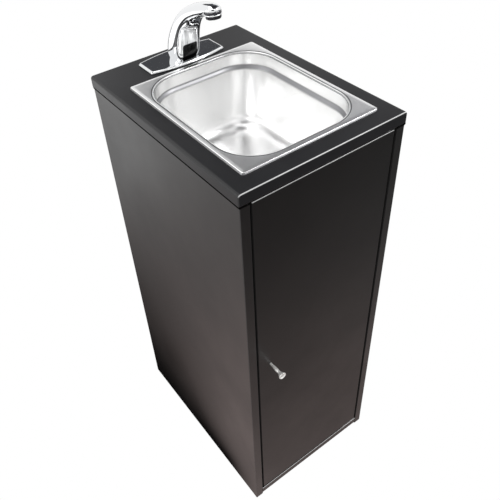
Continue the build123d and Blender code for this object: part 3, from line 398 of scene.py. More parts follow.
# ---------------------------------------------------------------- wood screws
# Zinc-plated pan-head screws with a cross recess hold the battens, the catch, the valve box,
# the pump's feet and the pivot plates.
def made(name, vertices, faces, materials, smooth=True):
    """Mesh object at the origin, its normals turned outwards."""
    mesh = bpy.data.meshes.new(name)
    mesh.from_pydata([tuple(v) for v in vertices], [], faces)
    work = bmesh.new()
    work.from_mesh(mesh)
    bmesh.ops.remove_doubles(work, verts=work.verts, dist=0.000005)
    bmesh.ops.dissolve_degenerate(work, edges=work.edges, dist=0.000002)
    bmesh.ops.recalc_face_normals(work, faces=work.faces)
    work.to_mesh(mesh)
    work.free()
    for material in materials:
        mesh.materials.append(material)
    if smooth:
        mesh.shade_smooth()
    return linked(name, mesh)


def skinned(loops, capped=True):
    """Faces between loops of equal count; capped closes both ends."""
    count = len(loops[0])
    vertices = [point for loop in loops for point in loop]
    faces = []
    for row in range(len(loops) - 1):
        for i in range(count):
            j = (i + 1) % count
            low, high = row * count, (row + 1) * count
            faces.append((low + i, low + j, high + j, high + i))
    if capped:
        faces.append(tuple(range(count - 1, -1, -1)))
        faces.append(tuple((len(loops) - 1) * count + i for i in range(count)))
    return vertices, faces


def in_mm(profile):
    """Profile's (radius, height) pairs from millimetres."""
    return [(radius * mm, height * mm) for radius, height in profile]


def turned(profile, steps, facets=0, inset=0.0):
    """Loops of a turned shape about +Z from (radius, height) pairs; facets flatten its rim."""
    loops = []
    for radius, height in profile:
        loop = []
        for i in range(steps):
            angle = 2 * math.pi * i / steps
            reach = radius
            if facets:
                half = math.pi / facets
                off = (angle + half) % (2 * half) - half
                reach = min(radius, (radius - inset) / math.cos(off))
            loop.append(Vector((reach * math.cos(angle), reach * math.sin(angle), height)))
        loops.append(loop)
    return loops


def screw_head():
    """Pan head with a cross recess, seated at the origin and facing +Z, in metres."""
    rows = [(3.4, 0.0), (3.4, 0.5), (3.2, 0.95), (2.7, 1.3), (2.1, 1.5), (1.75, 1.56), (1.3, 1.58),
            (0.9, 1.6), (0.5, 1.6), (0.02, 1.6)]
    loops = turned(in_mm(rows), 32)
    for loop in loops:
        for point in loop:
            reach = point.xy.length / mm
            arm = min(abs(point.x), abs(point.y)) / mm
            if reach < 1.8 and arm < 0.42:
                point.z -= (1.1 - 0.35 * reach) * mm
    return made("screw_head_pattern", *skinned(loops), [])


def screw_shank():
    """Threaded shank of unit length below the origin, in metres."""
    turns = 16
    rows = [(1.6 * mm, 0.0)]
    for i in range(turns):
        rows.append((1.15 * mm, -(i + 0.35) / (turns + 2)))
        rows.append((1.6 * mm, -(i + 0.8) / (turns + 2)))
    rows += [(1.1 * mm, -(turns + 0.6) / (turns + 2)), (0.1 * mm, -1.0)]
    return made("screw_shank_pattern", *skinned(turned(rows, 12)), [])


def group_input(tree, name, kind):
    """Named input of a geometry tree; returns its identifier."""
    return tree.interface.new_socket(name, in_out="INPUT", socket_type=kind).identifier


def baked(piece):
    """Piece with its modifiers' result as its plain mesh."""
    view = bpy.context.evaluated_depsgraph_get()
    mesh = bpy.data.meshes.new_from_object(piece.evaluated_get(view))
    piece.modifiers.clear()
    piece.data = mesh
    mesh.shade_smooth()
    return piece


def set_out(name, places, patterns, finish):
    """Patterns instanced on points by Geometry Nodes. Each place is a point, the way the
    pattern's +Z looks, and its length; a pattern marked long is stretched to that length."""
    points = bpy.data.meshes.new(name)
    points.from_pydata([place[0] for place in places], [], [])
    points.attributes.new("way", "FLOAT_VECTOR", "POINT")
    points.attributes.new("length", "FLOAT", "POINT")
    for i, place in enumerate(places):
        points.attributes["way"].data[i].vector = place[1]
        points.attributes["length"].data[i].value = place[2]
    piece = linked(name, points)
    tree = bpy.data.node_groups.new(name, "GeometryNodeTree")
    group_input(tree, "Points", "NodeSocketGeometry")
    sockets = [group_input(tree, "Pattern %d" % i, "NodeSocketObject")
               for i in range(len(patterns))]
    coat = group_input(tree, "Finish", "NodeSocketMaterial")
    tree.interface.new_socket("Pieces", in_out="OUTPUT", socket_type="NodeSocketGeometry")
    given = tree.nodes.new("NodeGroupInput")
    way, length = [added(tree, "GeometryNodeInputNamedAttribute", {"Name": label}, data_type=kind)
                   .outputs["Attribute"] for label, kind in (("way", "FLOAT_VECTOR"),
                                                             ("length", "FLOAT"))]
    stretch = added(tree, "ShaderNodeCombineXYZ", {0: 1.0, 1: 1.0, 2: length})
    turning = added(tree, "FunctionNodeAlignRotationToVector", {"Vector": way}, axis="Z")
    joined = tree.nodes.new("GeometryNodeJoinGeometry")
    for i, (pattern, is_long) in enumerate(patterns):
        info = added(tree, "GeometryNodeObjectInfo", {"Object": given.outputs["Pattern %d" % i]})
        copies = added(tree, "GeometryNodeInstanceOnPoints", {
            "Points": given.outputs["Points"], "Instance": info.outputs["Geometry"],
            "Rotation": turning.outputs["Rotation"]})
        if is_long:
            tree.links.new(stretch.outputs[0], copies.inputs["Scale"])
        tree.links.new(copies.outputs["Instances"], joined.inputs["Geometry"])
    real = added(tree, "GeometryNodeRealizeInstances", {"Geometry": joined.outputs["Geometry"]})
    coated = added(tree, "GeometryNodeSetMaterial", {"Geometry": real.outputs["Geometry"],
                                                     "Material": given.outputs["Finish"]})
    added(tree, "NodeGroupOutput", {"Pieces": coated.outputs["Geometry"]})
    modifier = piece.modifiers.new("set_out", "NODES")
    modifier.node_group = tree
    for socket, (pattern, is_long) in zip(sockets, patterns):
        modifier[socket] = pattern
    modifier[coat] = finish
    return baked(piece)


zinc, shader, tree = clouded("zinc_plate", (0.50, 0.52, 0.55), (0.72, 0.72, 0.70), (120.0, 4.0),
                             (0.24, 0.44, 300.0, 3.0), (1500.0, 2.0, 0.00003, 0.4), 1.0)
for node in ("lower_pivot", "upper_pivot", "catch_strike", "catch_magnet", "horseshoe_washer",
             "hose_clamps", "knob_screw"):
    dressed(node, zinc)

head_pattern = screw_head()
shank_pattern = screw_shank()


def screws(name, groups, replaced):
    """Screws for groups of points, the way the heads look and the length of shank."""
    places = [(point, way, length) for points, way, length in groups for point in points]
    piece = set_out(name, places, [(head_pattern, False), (shank_pattern, True)], zinc)
    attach(piece, "root")
    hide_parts(replaced)


back_low, back_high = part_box("back_board")
side_in, under_top = back_high.x, back_high.z
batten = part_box("shelf_battens")[1].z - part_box("shelf_battens")[0].z
batten_ys = (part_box("front_rail")[1].y + 3 * batten, back_low.y - 3 * batten)
batten_points = [(s * (side_in - batten / 2), y, under_top - batten)
                 for s in (-1, 1) for y in batten_ys]
catch_low, catch_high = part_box("catch_body")
catch_y = (catch_low.y + catch_high.y) / 2
catch_inset = 4 * mm
catch_points = [(catch_high.x, catch_y, z)
                for z in (catch_low.z + catch_inset, catch_high.z - catch_inset)]
cover_low, cover_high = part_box("control_box_cover")
cover_z = (cover_low.z + cover_high.z) / 2
cover_inset = 10 * mm
cover_points = [(x, cover_low.y, cover_z)
                for x in (cover_low.x + cover_inset, cover_high.x - cover_inset)]
feet_low, feet_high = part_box("pump_feet")
foot_inset, base_plate = 8 * mm, 3 * mm
foot_points = [(x, y, feet_high.z + base_plate)
               for x in (feet_low.x + foot_inset, feet_high.x - foot_inset)
               for y in (feet_low.y + foot_inset, feet_high.y - foot_inset)]
screws("cross_recess_screws", [
    (batten_points, (0, 0, -1), 26 * mm), (catch_points, (1, 0, 0), 25 * mm),
    (cover_points, (0, -1, 0), 28 * mm), (foot_points, (0, 0, 1), 23 * mm),
], "wood_screws")

floor_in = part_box("bottom_board")[1].z
pivot_mid = (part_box("lower_pivot")[0].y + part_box("lower_pivot")[1].y) / 2
pivot_xs = (side_in - 36 * mm, side_in - 25 * mm)
pivot_plate = 1.0 * mm
screws("pivot_plate_screws", [
    ([(x, pivot_mid, floor_in + pivot_plate) for x in pivot_xs], (0, 0, 1), 9 * mm),
    ([(x, pivot_mid, under_top - pivot_plate) for x in pivot_xs], (0, 0, -1), 9 * mm),
], "pivot_screws")
for pattern in (head_pattern, shank_pattern):
    bpy.data.objects.remove(pattern)


# ---------------------------------------------------------------- door
# Inset door of the same board, hung on two pins at its right edge. A turned satin nickel knob
# is screwed on from inside, and a magnetic catch under the rail holds a steel strike plate.
def placed(loops, where):
    """Loops moved to their place."""
    return [[where @ point for point in loop] for loop in loops]


door_melamine = melamine("door_melamine", (0.0036, 0.0031, 0.0030), (0.0060, 0.0052, 0.0050),
                         0.38, 0.40, 1.0)
dressed("door_board", door_melamine)

nickel, shader, tree = surface("satin_nickel", (0.95, 0.94, 0.92), 0.44, 0.55)
place = object_place(tree)
uneven(tree, shader, place, 0.38, 0.48, 700.0, 2.0)
embossed(tree, shader, noise(tree, place, 1600.0, 1.0), 0.00002, 0.3)

knob_low, knob_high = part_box("door_knob")
knob_x, knob_z = (knob_low.x + knob_high.x) / 2, (knob_low.z + knob_high.z) / 2
onto_door = Matrix.Translation((knob_x, knob_high.y, knob_z))
onto_door = onto_door @ Matrix.Rotation(math.pi / 2, 4, "X")
knob_profile = [
    (2.25, 0.0), (2.25, 0.5), (2.25, 1.5), (2.25, 3.0), (2.3, 5.0), (2.6, 9.0), (3.0, 13.0),
    (3.2, 17.0), (3.1, 20.0), (2.8, 22.6), (2.7, 24.2), (3.1, 26.0), (4.0, 28.0), (5.2, 30.2),
    (6.2, 32.0), (6.8, 33.2), (7.0, 34.0), (6.9, 34.6), (6.6, 34.9), (6.2, 34.7), (5.7, 33.8),
    (5.0, 33.1), (3.6, 32.7), (2.0, 32.5), (0.05, 32.5),
]
loops = placed(turned(in_mm(knob_profile), 48), onto_door)
knob = made("turned_knob", *skinned(loops), [nickel])
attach(knob, "door")
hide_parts("door_knob")

black_plastic, shader, tree = clouded(
    "black_plastic", (0.014, 0.014, 0.015), (0.026, 0.026, 0.027), (25.0, 4.0),
    (0.38, 0.52, 30.0, 3.0), (1200.0, 2.0, 0.00006, 0.4))
for node in ("drain_lock_nut", "drain_tailpiece", "catch_body", "pump_head", "pump_ports",
             "switch_box"):
    dressed(node, black_plastic)


# ---------------------------------------------------------------- basin pan
# A half-size pan deep-drawn from 1 mm stainless sheet, satin finished: its rim is folded down in
# two beads, its wall steps in at a stacking shoulder, and its flange hangs it in the top board.
pan_low, pan_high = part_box("basin_pan")
pan_mid_y = (pan_low.y + pan_high.y) / 2
half_width = (pan_high.x - pan_low.x) / 2 / mm
half_length = (pan_high.y - pan_low.y) / 2 / mm
rim_height = pan_high.z
rim_top = rim_height / mm
pan_depth, gauge = 150.0, 1.0
pan_floor = rim_top - pan_depth
flange, mouth_corner, lip = 12.5, 68.0, 2.6

steel, shader, tree = surface("satin_stainless", (0.93, 0.93, 0.93), 0.24, 1.0)
place = object_place(tree)
drawn = tinted(tree, shader, noise(tree, place, 14.0, 4.0), (0.95, 0.95, 0.95),
               (0.975, 0.975, 0.97))
where = parts_of(tree, place)
height = where[2]
# Painted reflection: a grey band lies on the stacking shoulder and fades out above and below it.
shoulder = ranged(tree, height, 0.0, 1.0, rim_height - 34.5 * mm, rim_height - 31 * mm)
lip_side = ranged(tree, height, 1.0, 0.0, rim_height - 25.5 * mm, rim_height - 23 * mm)
band = sum_of(tree, shoulder, lip_side, "MULTIPLY")
# Painted shade: a fine dark line runs round the mouth on the flange, just outside the rounded lip.
reach = []
for axis in (0, 1):
    mid = (pan_low[axis] + pan_high[axis]) / 2
    half = (pan_high[axis] - pan_low[axis]) / 2 - (flange + mouth_corner) * mm
    off = sum_of(tree, sum_of(tree, where[axis], mid, "SUBTRACT"), 0.0, "ABSOLUTE")
    reach.append(sum_of(tree, sum_of(tree, off, half, "SUBTRACT"), 0.0, "MAXIMUM"))
squares = sum_of(tree, sum_of(tree, reach[0], 2.0, "POWER"), sum_of(tree, reach[1], 2.0, "POWER"))
from_mouth = sum_of(tree, sum_of(tree, squares, 0.5, "POWER"), mouth_corner * mm, "SUBTRACT")
line = sum_of(tree, sum_of(tree, from_mouth, 3.7 * mm, "SUBTRACT"), 0.0, "ABSOLUTE")
line = ranged(tree, line, 1.0, 0.0, 0.4 * mm, 1.1 * mm)
on_top = ranged(tree, height, 0.0, 1.0, rim_height - 0.6 * mm, rim_height - 0.3 * mm)
line = sum_of(tree, line, on_top, "MULTIPLY")
# Two more lines of painted shade lie in the grooves that part the rim's beads.
for low in (3.05, 1.5):
    groove = sum_of(tree, height, rim_height - low * mm, "SUBTRACT")
    groove = sum_of(tree, groove, 0.0, "ABSOLUTE")
    line = sum_of(tree, line, ranged(tree, groove, 1.0, 0.0, 0.30 * mm, 0.60 * mm), "MAXIMUM")
# The painted reflection band and the painted shade lines are laid over the steel's colour.
drawn = overlaid(tree, band, drawn, (0.30, 0.30, 0.31))
tree.links.new(overlaid(tree, line, drawn, (0.12, 0.12, 0.13)), shader.inputs["Base Color"])
fine = ranged(tree, noise(tree, place, 90.0, 3.0, 0.6), 0.285, 0.315)
tree.links.new(sum_of(tree, fine, sum_of(tree, band, 0.12, "MULTIPLY")), shader.inputs["Roughness"])
dressed("drain_flange", steel)


def outline(inset, corner, height, arc=14, run=8):
    """Rounded rectangle of the pan at an inset from its rim, in metres."""
    wide, long = half_width - inset, half_length - inset
    corner = max(corner, 0.2)
    points = []
    for k, (sx, sy) in enumerate(((1, 1), (-1, 1), (-1, -1), (1, -1))):
        middle = Vector((sx * (wide - corner), sy * (long - corner)))
        for i in range(arc + 1):
            angle = math.pi / 2 * (k + i / arc)
            points.append(middle + corner * Vector((math.cos(angle), math.sin(angle))))
        nx, ny = ((-1, 1), (-1, -1), (1, -1), (1, 1))[k]
        start, end = points[-1], Vector((nx * (wide - corner), ny * (long - corner)))
        angle = math.pi / 2 * (k + 1)
        end = end + corner * Vector((math.cos(angle), math.sin(angle)))
        for i in range(1, run):
            points.append(start.lerp(end, i / run))
    return [Vector((p.x * mm, p.y * mm + pan_mid_y, height * mm)) for p in points]


def round_outline(like, radius, height):
    """Circle with a point in the direction of each point of another outline."""
    points = []
    for p in like:
        way = Vector((p.x, p.y - pan_mid_y)).normalized() * radius * mm
        points.append(Vector((way.x, way.y + pan_mid_y, height * mm)))
    return points


# The wall from the lip down, as (inset from the opening, height over the floor), with the
# direction out of the pan at each.
shoulder_step, shoulder_foot, bottom_radius = 4.0, 118.0, 30.0
draft_angle = math.radians(5)
draft = math.tan(draft_angle)
wall = [(-lip * (1 - math.sin(a)), pan_depth - lip * (1 - math.cos(a)))
        for a in [math.pi / 2 * i / 6 for i in range(7)]]
wall += [(0.0, 143.0), (0.0, 130.0), (0.0, 125.2), (0.12, 124.2), (0.5, 123.2), (1.1, 122.3),
         (2.0, 121.2), (2.9, 120.0), (3.5, 119.0), (3.9, 117.8), (4.05, 116.4)]
wall += [(shoulder_step + (shoulder_foot - h) * draft, h) for h in (112, 100, 80, 60, 42, 32)]
knee = (shoulder_step + (shoulder_foot - bottom_radius) * draft
        + bottom_radius / math.cos(draft_angle))
wall += [(knee - bottom_radius * math.cos(a), bottom_radius - bottom_radius * math.sin(a))
         for a in [math.radians(5 + 85 * i / 9) for i in range(10)]]
wall += [(knee + 6.0, 0.0), (knee + 18.0, 0.0)]
normals = []
for i in range(len(wall)):
    (a, b), (c, d) = wall[max(i - 1, 0)], wall[min(i + 1, len(wall) - 1)]
    size = math.hypot(c - a, d - b)
    normals.append(((d - b) / size, -(c - a) / size))
normals[0] = (0.0, -1.0)

# The rim from its lower edge up and in, as (inset, height over its seat, corner radius).
rim = [(0.0, 0.0, 5.0), (0.0, 0.45, 5.0), (0.3, 0.75, 4.7), (0.75, 0.95, 4.3), (0.35, 1.25, 4.7),
       (0.2, 1.65, 4.8), (0.3, 2.05, 4.7), (0.85, 2.35, 4.2), (1.0, 2.5, 4.0), (0.75, 2.75, 4.3),
       (0.85, 2.95, 4.2), (1.1, 3.2, 3.9), (1.5, 3.38, 3.5), (2.2, 3.5, 2.9), (2.9, 3.58, 2.2),
       (4.0, 3.71, 2.0), (5.2, 3.85, 2.0), (6.2, 3.95, 2.0), (7.0, 4.0, 2.0)]
seat = rim_top - 4.0
skin = [outline(inset, corner, seat + height) for inset, height, corner in rim]
skin.append(outline(8.2, 52.0, rim_top))
for inset, height in wall:
    skin.append(outline(flange + inset, mouth_corner - inset, pan_floor + height))
foot = skin[-1]
drain_rings = [(46, 0.0), (30, -0.1), (22, -0.4), (19.6, -0.6)]
for radius, height in drain_rings:
    skin.append(round_outline(foot, radius, pan_floor + height))

# The underside, from the drain back out to the rim's lower edge.
under = [round_outline(foot, radius, pan_floor - gauge + height)
         for radius, height in reversed(drain_rings)]
for (inset, height), (nx, nz) in reversed(list(zip(wall, normals))):
    under.append(outline(flange + inset + nx, mouth_corner - inset - nx, pan_floor + height + nz))
under += [outline(8.2, 52.0, rim_top - gauge), outline(4.0, 2.0, rim_top - gauge),
          outline(2.0, 3.0, rim_top - 1.5), outline(1.6, 3.4, rim_top - 2.4),
          outline(1.6, 3.4, seat)]
vertices, faces = skinned(skin + under, capped=False)
count, rows = len(skin[0]), len(skin) + len(under)
for i in range(count):
    j = (i + 1) % count
    faces.append(((rows - 1) * count + i, (rows - 1) * count + j, j, i))
basin = made("drawn_basin_pan", vertices, faces, [steel])
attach(basin, "root")
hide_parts("basin_pan")

rubber, shader, tree = clouded("black_rubber", (0.016, 0.016, 0.016), (0.034, 0.033, 0.032),
                               (50.0, 4.0), (0.60, 0.82, 200.0, 3.0), (700.0, 3.0, 0.00012, 0.5))
for node in ("drain_gasket", "deck_gasket", "pump_feet"):
    dressed(node, rubber)


# ---------------------------------------------------------------- painted shadow under the top
# A near-black strip in the corner under the top board's overhang, run along both side boards and
# round onto their front edges, is painted shadow: it stands for the shade under the overhang.
shade_strip_finish, shader, tree = surface("painted_shadow_strip", (0.0008, 0.0008, 0.0008), 0.92)
shader.inputs["Specular IOR Level"].default_value = 0.04
place = object_place(tree)
tinted(tree, shader, noise(tree, place, 60.0, 3.0), (0.0004, 0.0004, 0.0004),
       (0.0012, 0.0012, 0.0012))
# The strip's section in millimetres: out from the board, and down from the top board. It is
# thinner on the front edges.
shade_strip_section = [(-0.2, 0.02), (-0.2, 4.1), (0.1, 4.1), (0.35, 3.7), (1.15, 0.8), (1.2, 0.02)]
front = -0.8
for side, hand in ((-1, "left"), (1, "right")):
    board_low, board_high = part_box(hand + "_side_board")
    outer, inner = (board_low.x, board_high.x) if side < 0 else (board_high.x, board_low.x)
    loops = []
    for x, y, out_x, out_y in ((outer, board_high.y, side, 0), (outer, board_low.y, side, front),
                               (inner, board_low.y, 0, front)):
        loops.append([Vector((x + out_x * out * mm, y + out_y * out * mm,
                              board_high.z - drop * mm)) for out, drop in shade_strip_section])
    shade_strip = made("joint_bead_" + hand, *skinned(loops), [shade_strip_finish], False)
    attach(shade_strip, "root")


# ---------------------------------------------------------------- faucet
# Chrome-plated cast body that leans over the pan, with a dark sensor lens let into its front and
# a black aerator in a faceted collar under its nose. The collar is chrome painted near black, a
# painted dark reflection.
chrome, shader, tree = surface("bright_chrome", (0.86, 0.87, 0.88), 0.04, 1.0)
uneven(tree, shader, object_place(tree), 0.03, 0.07, 40.0, 3.0)

# Stations: y, z, lean from upright, half width, half depth, squareness in front, at the back.
stations = [
    (182.6, 890.0, 0.0, 24.2, 21.2, 3.4, 2.5), (182.6, 892.3, 0.0, 24.5, 21.5, 3.4, 2.5),
    (182.1, 904.0, 4.0, 27.0, 24.0, 3.4, 2.5), (176.6, 926.0, 14.0, 27.0, 22.5, 3.3, 2.4),
    (165.6, 950.0, 31.0, 25.5, 19.0, 3.0, 2.3), (150.6, 972.0, 47.0, 23.5, 16.0, 2.9, 2.25),
    (129.6, 989.5, 60.0, 21.3, 13.3, 2.8, 2.2), (107.6, 1000.2, 69.0, 19.0, 11.7, 2.7, 2.2),
    (91.0, 1006.0, 78.0, 16.6, 10.3, 2.6, 2.15), (81.5, 1008.4, 100.0, 15.3, 10.0, 2.4, 2.1),
    (76.0, 1009.6, 130.0, 14.7, 11.2, 2.2, 2.05), (73.9, 1009.8, 155.0, 14.3, 13.2, 2.05, 2.0),
    (73.3, 1009.0, 172.0, 13.9, 13.9, 2.0, 2.0), (73.1, 1008.0, 172.0, 13.4, 13.4, 2.0, 2.0),
]


def smoothed(rows, steps):
    """Rows of numbers joined by smooth curves, spaced by the distance between their places."""
    marks = [0.0]
    for a, b in zip(rows, rows[1:]):
        marks.append(marks[-1] + math.hypot(b[0] - a[0], b[1] - a[1]) + 0.16 * abs(b[2] - a[2]))
    slopes = []
    for i in range(len(rows)):
        low, high = max(i - 1, 0), min(i + 1, len(rows) - 1)
        slopes.append([(q - p) / (marks[high] - marks[low]) for p, q in zip(rows[low], rows[high])])
    made_rows = []
    for step in range(steps + 1):
        at = marks[-1] * step / steps
        i = max(k for k in range(len(rows) - 1) if marks[k] <= at)
        span = marks[i + 1] - marks[i]
        t = (at - marks[i]) / span
        a, b = 2 * t ** 3 - 3 * t ** 2 + 1, t ** 3 - 2 * t ** 2 + t
        c, d = -2 * t ** 3 + 3 * t ** 2, t ** 3 - t ** 2
        made_rows.append([a * p + b * span * m + c * q + d * span * n for p, m, q, n
                          in zip(rows[i], slopes[i], rows[i + 1], slopes[i + 1])])
    return made_rows


def section(row):
    """One section of the body, flatter in front than at the back."""
    y, z, lean, wide, deep, front, back = row
    steps = 56
    lean = math.radians(lean)
    outward = Vector((0, math.cos(lean), math.sin(lean)))
    points = []
    for i in range(steps):
        angle = 2 * math.pi * i / steps
        c, s = math.cos(angle), math.sin(angle)
        power = 2 / (back if s > 0 else front)
        across = math.copysign(abs(c) ** power, c) * wide
        depth = math.copysign(abs(s) ** power, s) * deep
        points.append((Vector((across, y, z)) + outward * depth) * mm)
    return points


rows = smoothed(stations, 72)
last = stations[-1]
loops = [section(row) for row in rows]
sink = Vector((0, -math.sin(math.radians(last[2])), math.cos(math.radians(last[2]))))
for shrink, ahead_by in ((0.4, 0.25), (1.2, 0.2), (1.4, -1.2)):
    end = section((*last[:3], last[3] - shrink, last[4] - shrink, 2, 2))
    loops.append([point + sink * ahead_by * mm for point in end])
body = made("cast_faucet_body", *skinned(loops), [chrome])
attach(body, "root")
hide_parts("faucet_body")

# Painted reflection: the collar is chrome painted near black, as if it mirrored dark surroundings.
collar_dark_reflection, shader, tree = surface("chrome_painted_dark", (0.05, 0.05, 0.055), 0.12, 1.0)
uneven(tree, shader, object_place(tree), 0.08, 0.18, 90.0, 3.0)
mouth = Matrix.Translation(Vector((0, 71.6, 998.0)) * mm)
mouth = mouth @ Matrix.Rotation(math.radians(-8), 4, "X")
facets = 8
collar_profile = [
    (9.6, 0.4), (9.8, -1.0), (10.8, -1.6), (12.2, -1.4), (12.9, -0.8), (13.1, 0.2), (13.3, 4.3),
    (14.0, 6.2), (14.1, 7.0), (14.0, 10.2), (13.4, 11.2), (12.4, 11.6), (9.0, 11.8),
]
loops = placed(turned(in_mm(collar_profile), 64, facets, 0.5 * mm), mouth)
collar = made("aerator_collar", *skinned(loops), [collar_dark_reflection])
ring_profile = [
    (12.6, 4.1), (13.7, 4.2), (14.3, 4.6), (14.5, 5.2), (14.4, 5.9), (13.9, 6.3), (12.6, 6.4),
]
loops = placed(turned(in_mm(ring_profile), 64, facets, 0.3 * mm), mouth)
ring = made("collar_ring", *skinned(loops), [chrome])
insert_profile = [
    (9.4, 3.0), (9.7, -0.2), (9.5, -0.9), (9.0, -1.2), (8.2, -1.2), (8.0, -0.3), (7.8, -0.1),
    (5.9, 0.0), (5.7, -0.5), (5.3, -0.5), (5.1, 0.0), (3.4, 0.0), (3.2, -0.5), (2.8, -0.5),
    (2.6, 0.0), (0.05, 0.0),
]
loops = placed(turned(in_mm(insert_profile), 48), mouth)
insert = made("aerator_insert", *skinned(loops), [black_plastic])
for piece in (collar, insert):
    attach(piece, "root")
    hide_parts("aerator")
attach(ring, "root")

# The lens follows the body's front and stands a little proud of it.
lens, shader, tree = surface("sensor_lens", (0.0015, 0.0015, 0.0018), 0.05)
shader.inputs["Specular IOR Level"].default_value = 0.12
uneven(tree, shader, object_place(tree), 0.04, 0.09, 60.0, 2.0)
work = bmesh.new()
work.from_mesh(body.data)
bmesh.ops.triangulate(work, faces=work.faces)
body_front = BVHTree.FromBMesh(work)
work.free()
window_low, window_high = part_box("sensor_window")
lens_half = (window_high.x - window_low.x) / 2
lens_height = window_high.z - window_low.z - 0.5 * mm
lens_corner = 5 * mm


def lens_outline(inset):
    """Outline of the lens, round at its upper corners, from its lower left round."""
    wide, high, radius = lens_half - inset, lens_height - inset, lens_corner - inset
    points = [(-wide, inset), (-wide, high * 0.35), (-wide, high * 0.65)]
    quarter = [math.pi / 2 * i / 6 for i in range(7)]
    points += [(-wide + radius - radius * math.cos(a), high - radius + radius * math.sin(a))
               for a in quarter]
    points += [(x * (wide - radius), high) for x in (-0.5, 0.0, 0.5)]
    points += [(wide - radius + radius * math.sin(a), high - radius + radius * math.cos(a))
               for a in quarter]
    points += [(wide, high * 0.65), (wide, high * 0.35), (wide, inset)]
    return points + [(x * wide, inset) for x in (0.66, 0.33, 0.0, -0.33, -0.66)]


def on_body(x, z, proud):
    """Point of the body's front at x and at a height over the deck plate."""
    start = Vector((x, window_low.y - 0.1, window_low.z + 0.3 * mm + z))
    return body_front.ray_cast(start, Vector((0, 1, 0)))[0] + Vector((0, -proud, 0))


loops = []
for inset, proud in ((0.0, -1.0), (0.0, 0.35), (0.25, 0.6), (0.7, 0.7), (1.0, 0.7)):
    loops.append([on_body(x, z, proud * mm) for x, z in lens_outline(inset * mm)])
middle = lens_height / 2
for share in (0.8, 0.55, 0.3, 0.1):
    loops.append([on_body(x * share, middle + (z - middle) * share, 0.7 * mm)
                  for x, z in lens_outline(1.0 * mm)])
window = made("sensor_lens_cover", *skinned(loops), [lens])
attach(window, "root")
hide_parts("sensor_window")


# ---------------------------------------------------------------- deck plate
# Cast plate under the faucet, on a thin gasket, with straight ends and bowed sides: a plain foot,
# a fine step and a wide bevel up to its flat top.
def barrel(inset, height):
    """Deck plate outline at an inset, from its right front corner round, in metres."""
    wide, end, middle = 78.5, 23.5, 33.5
    bow = (wide * wide + (middle - end) ** 2) / (2 * (middle - end))
    bow_y = middle - bow
    wide, bow, corner = wide - inset, bow - inset, max(3.0 - inset, 0.6)
    centre_x = wide - corner
    centre_y = bow_y + math.sqrt((bow - corner) ** 2 - centre_x ** 2)
    lean = math.atan2(centre_y - bow_y, centre_x)
    quarter = [(wide, centre_y * i / 5) for i in range(5)]
    for i in range(9):
        angle = lean * i / 8
        quarter.append((centre_x + corner * math.cos(angle), centre_y + corner * math.sin(angle)))
    for i in range(1, 17):
        angle = lean + (math.pi / 2 - lean) * i / 16
        quarter.append((bow * math.cos(angle), bow_y + bow * math.sin(angle)))
    half_ring = quarter + [(-x, y) for x, y in reversed(quarter[:-1])]
    ring_points = half_ring + [(-x, -y) for x, y in half_ring[1:-1]]
    return [Vector((x * mm, y * mm + deck_mid, height * mm)) for x, y in ring_points]


deck_low, deck_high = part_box("deck_plate")
deck_mid = (deck_low.y + deck_high.y) / 2
foot_z, deck_z = deck_low.z / mm, deck_high.z / mm
bevel = [(2.0, foot_z), (0.25, foot_z), (0.0, foot_z + 0.25), (0.1, foot_z + 1.9),
         (0.3, foot_z + 2.15), (0.65, foot_z + 2.2), (0.75, foot_z + 2.35), (0.8, foot_z + 2.6),
         (1.6, deck_z - 1.3), (2.4, deck_z - 0.45), (2.8, deck_z - 0.12), (3.3, deck_z),
         (5.0, deck_z), (9.0, deck_z)]
loops = [barrel(inset, height) for inset, height in bevel]
plate = made("bevelled_deck_plate", *skinned(loops), [chrome])
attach(plate, "root")
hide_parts("deck_plate")


# ---------------------------------------------------------------- faucet fixings
# Under the top board a threaded stud, a horseshoe washer and a brass nut clamp the faucet and
# its plate. The valve box's fittings and the battery's terminals are machined brass too.
def striped(tree, place, axis, pitch):
    """0 to 1 to 0 along one axis, once for each pitch."""
    part = parts_of(tree, place)["XYZ".index(axis)]
    turns = sum_of(tree, part, 1.0 / pitch, "MULTIPLY")
    return sum_of(tree, turns, 1.0, "PINGPONG")


def brushed_metal(name, dark, light, low, high):
    """Machined metal with cloudy tarnish and fine scratches."""
    return clouded(name, dark, light, (80.0, 5.0), (low, high, 240.0, 3.0),
                   (1500.0, 2.0, 0.00003, 0.4), 1.0)


brass, shader, tree = brushed_metal("machined_brass", (0.52, 0.36, 0.13), (0.74, 0.57, 0.27),
                                    0.22, 0.38)
for node in ("mounting_nut", "control_box_fittings", "battery_terminals"):
    dressed(node, brass)
stud, shader, tree = brushed_metal("threaded_steel", (0.44, 0.45, 0.47), (0.66, 0.66, 0.66),
                                   0.28, 0.42)
thread_pitch = 0.6 * mm
embossed(tree, shader, striped(tree, object_place(tree), "Z", thread_pitch), 0.0004, 1.0)
dressed("faucet_stud", stud)


# ---------------------------------------------------------------- valve and sensor box
# Moulded dark grey box on the back board with the solenoid valve and the sensor's electronics.
# Its cover has a raised panel with seven ribs, between its two screws.
def moulded(name, dark, light, low, high):
    """Moulded plastic with a fine spark-eroded grain."""
    return clouded(name, dark, light, (18.0, 4.0), (low, high, 45.0, 4.0),
                   (900.0, 2.0, 0.00007, 0.45))


control, shader, tree = moulded("dark_grey_plastic", (0.018, 0.020, 0.022), (0.030, 0.032, 0.035),
                                0.40, 0.55)
dressed("control_box_base", control)
dressed("control_box_cover", control)


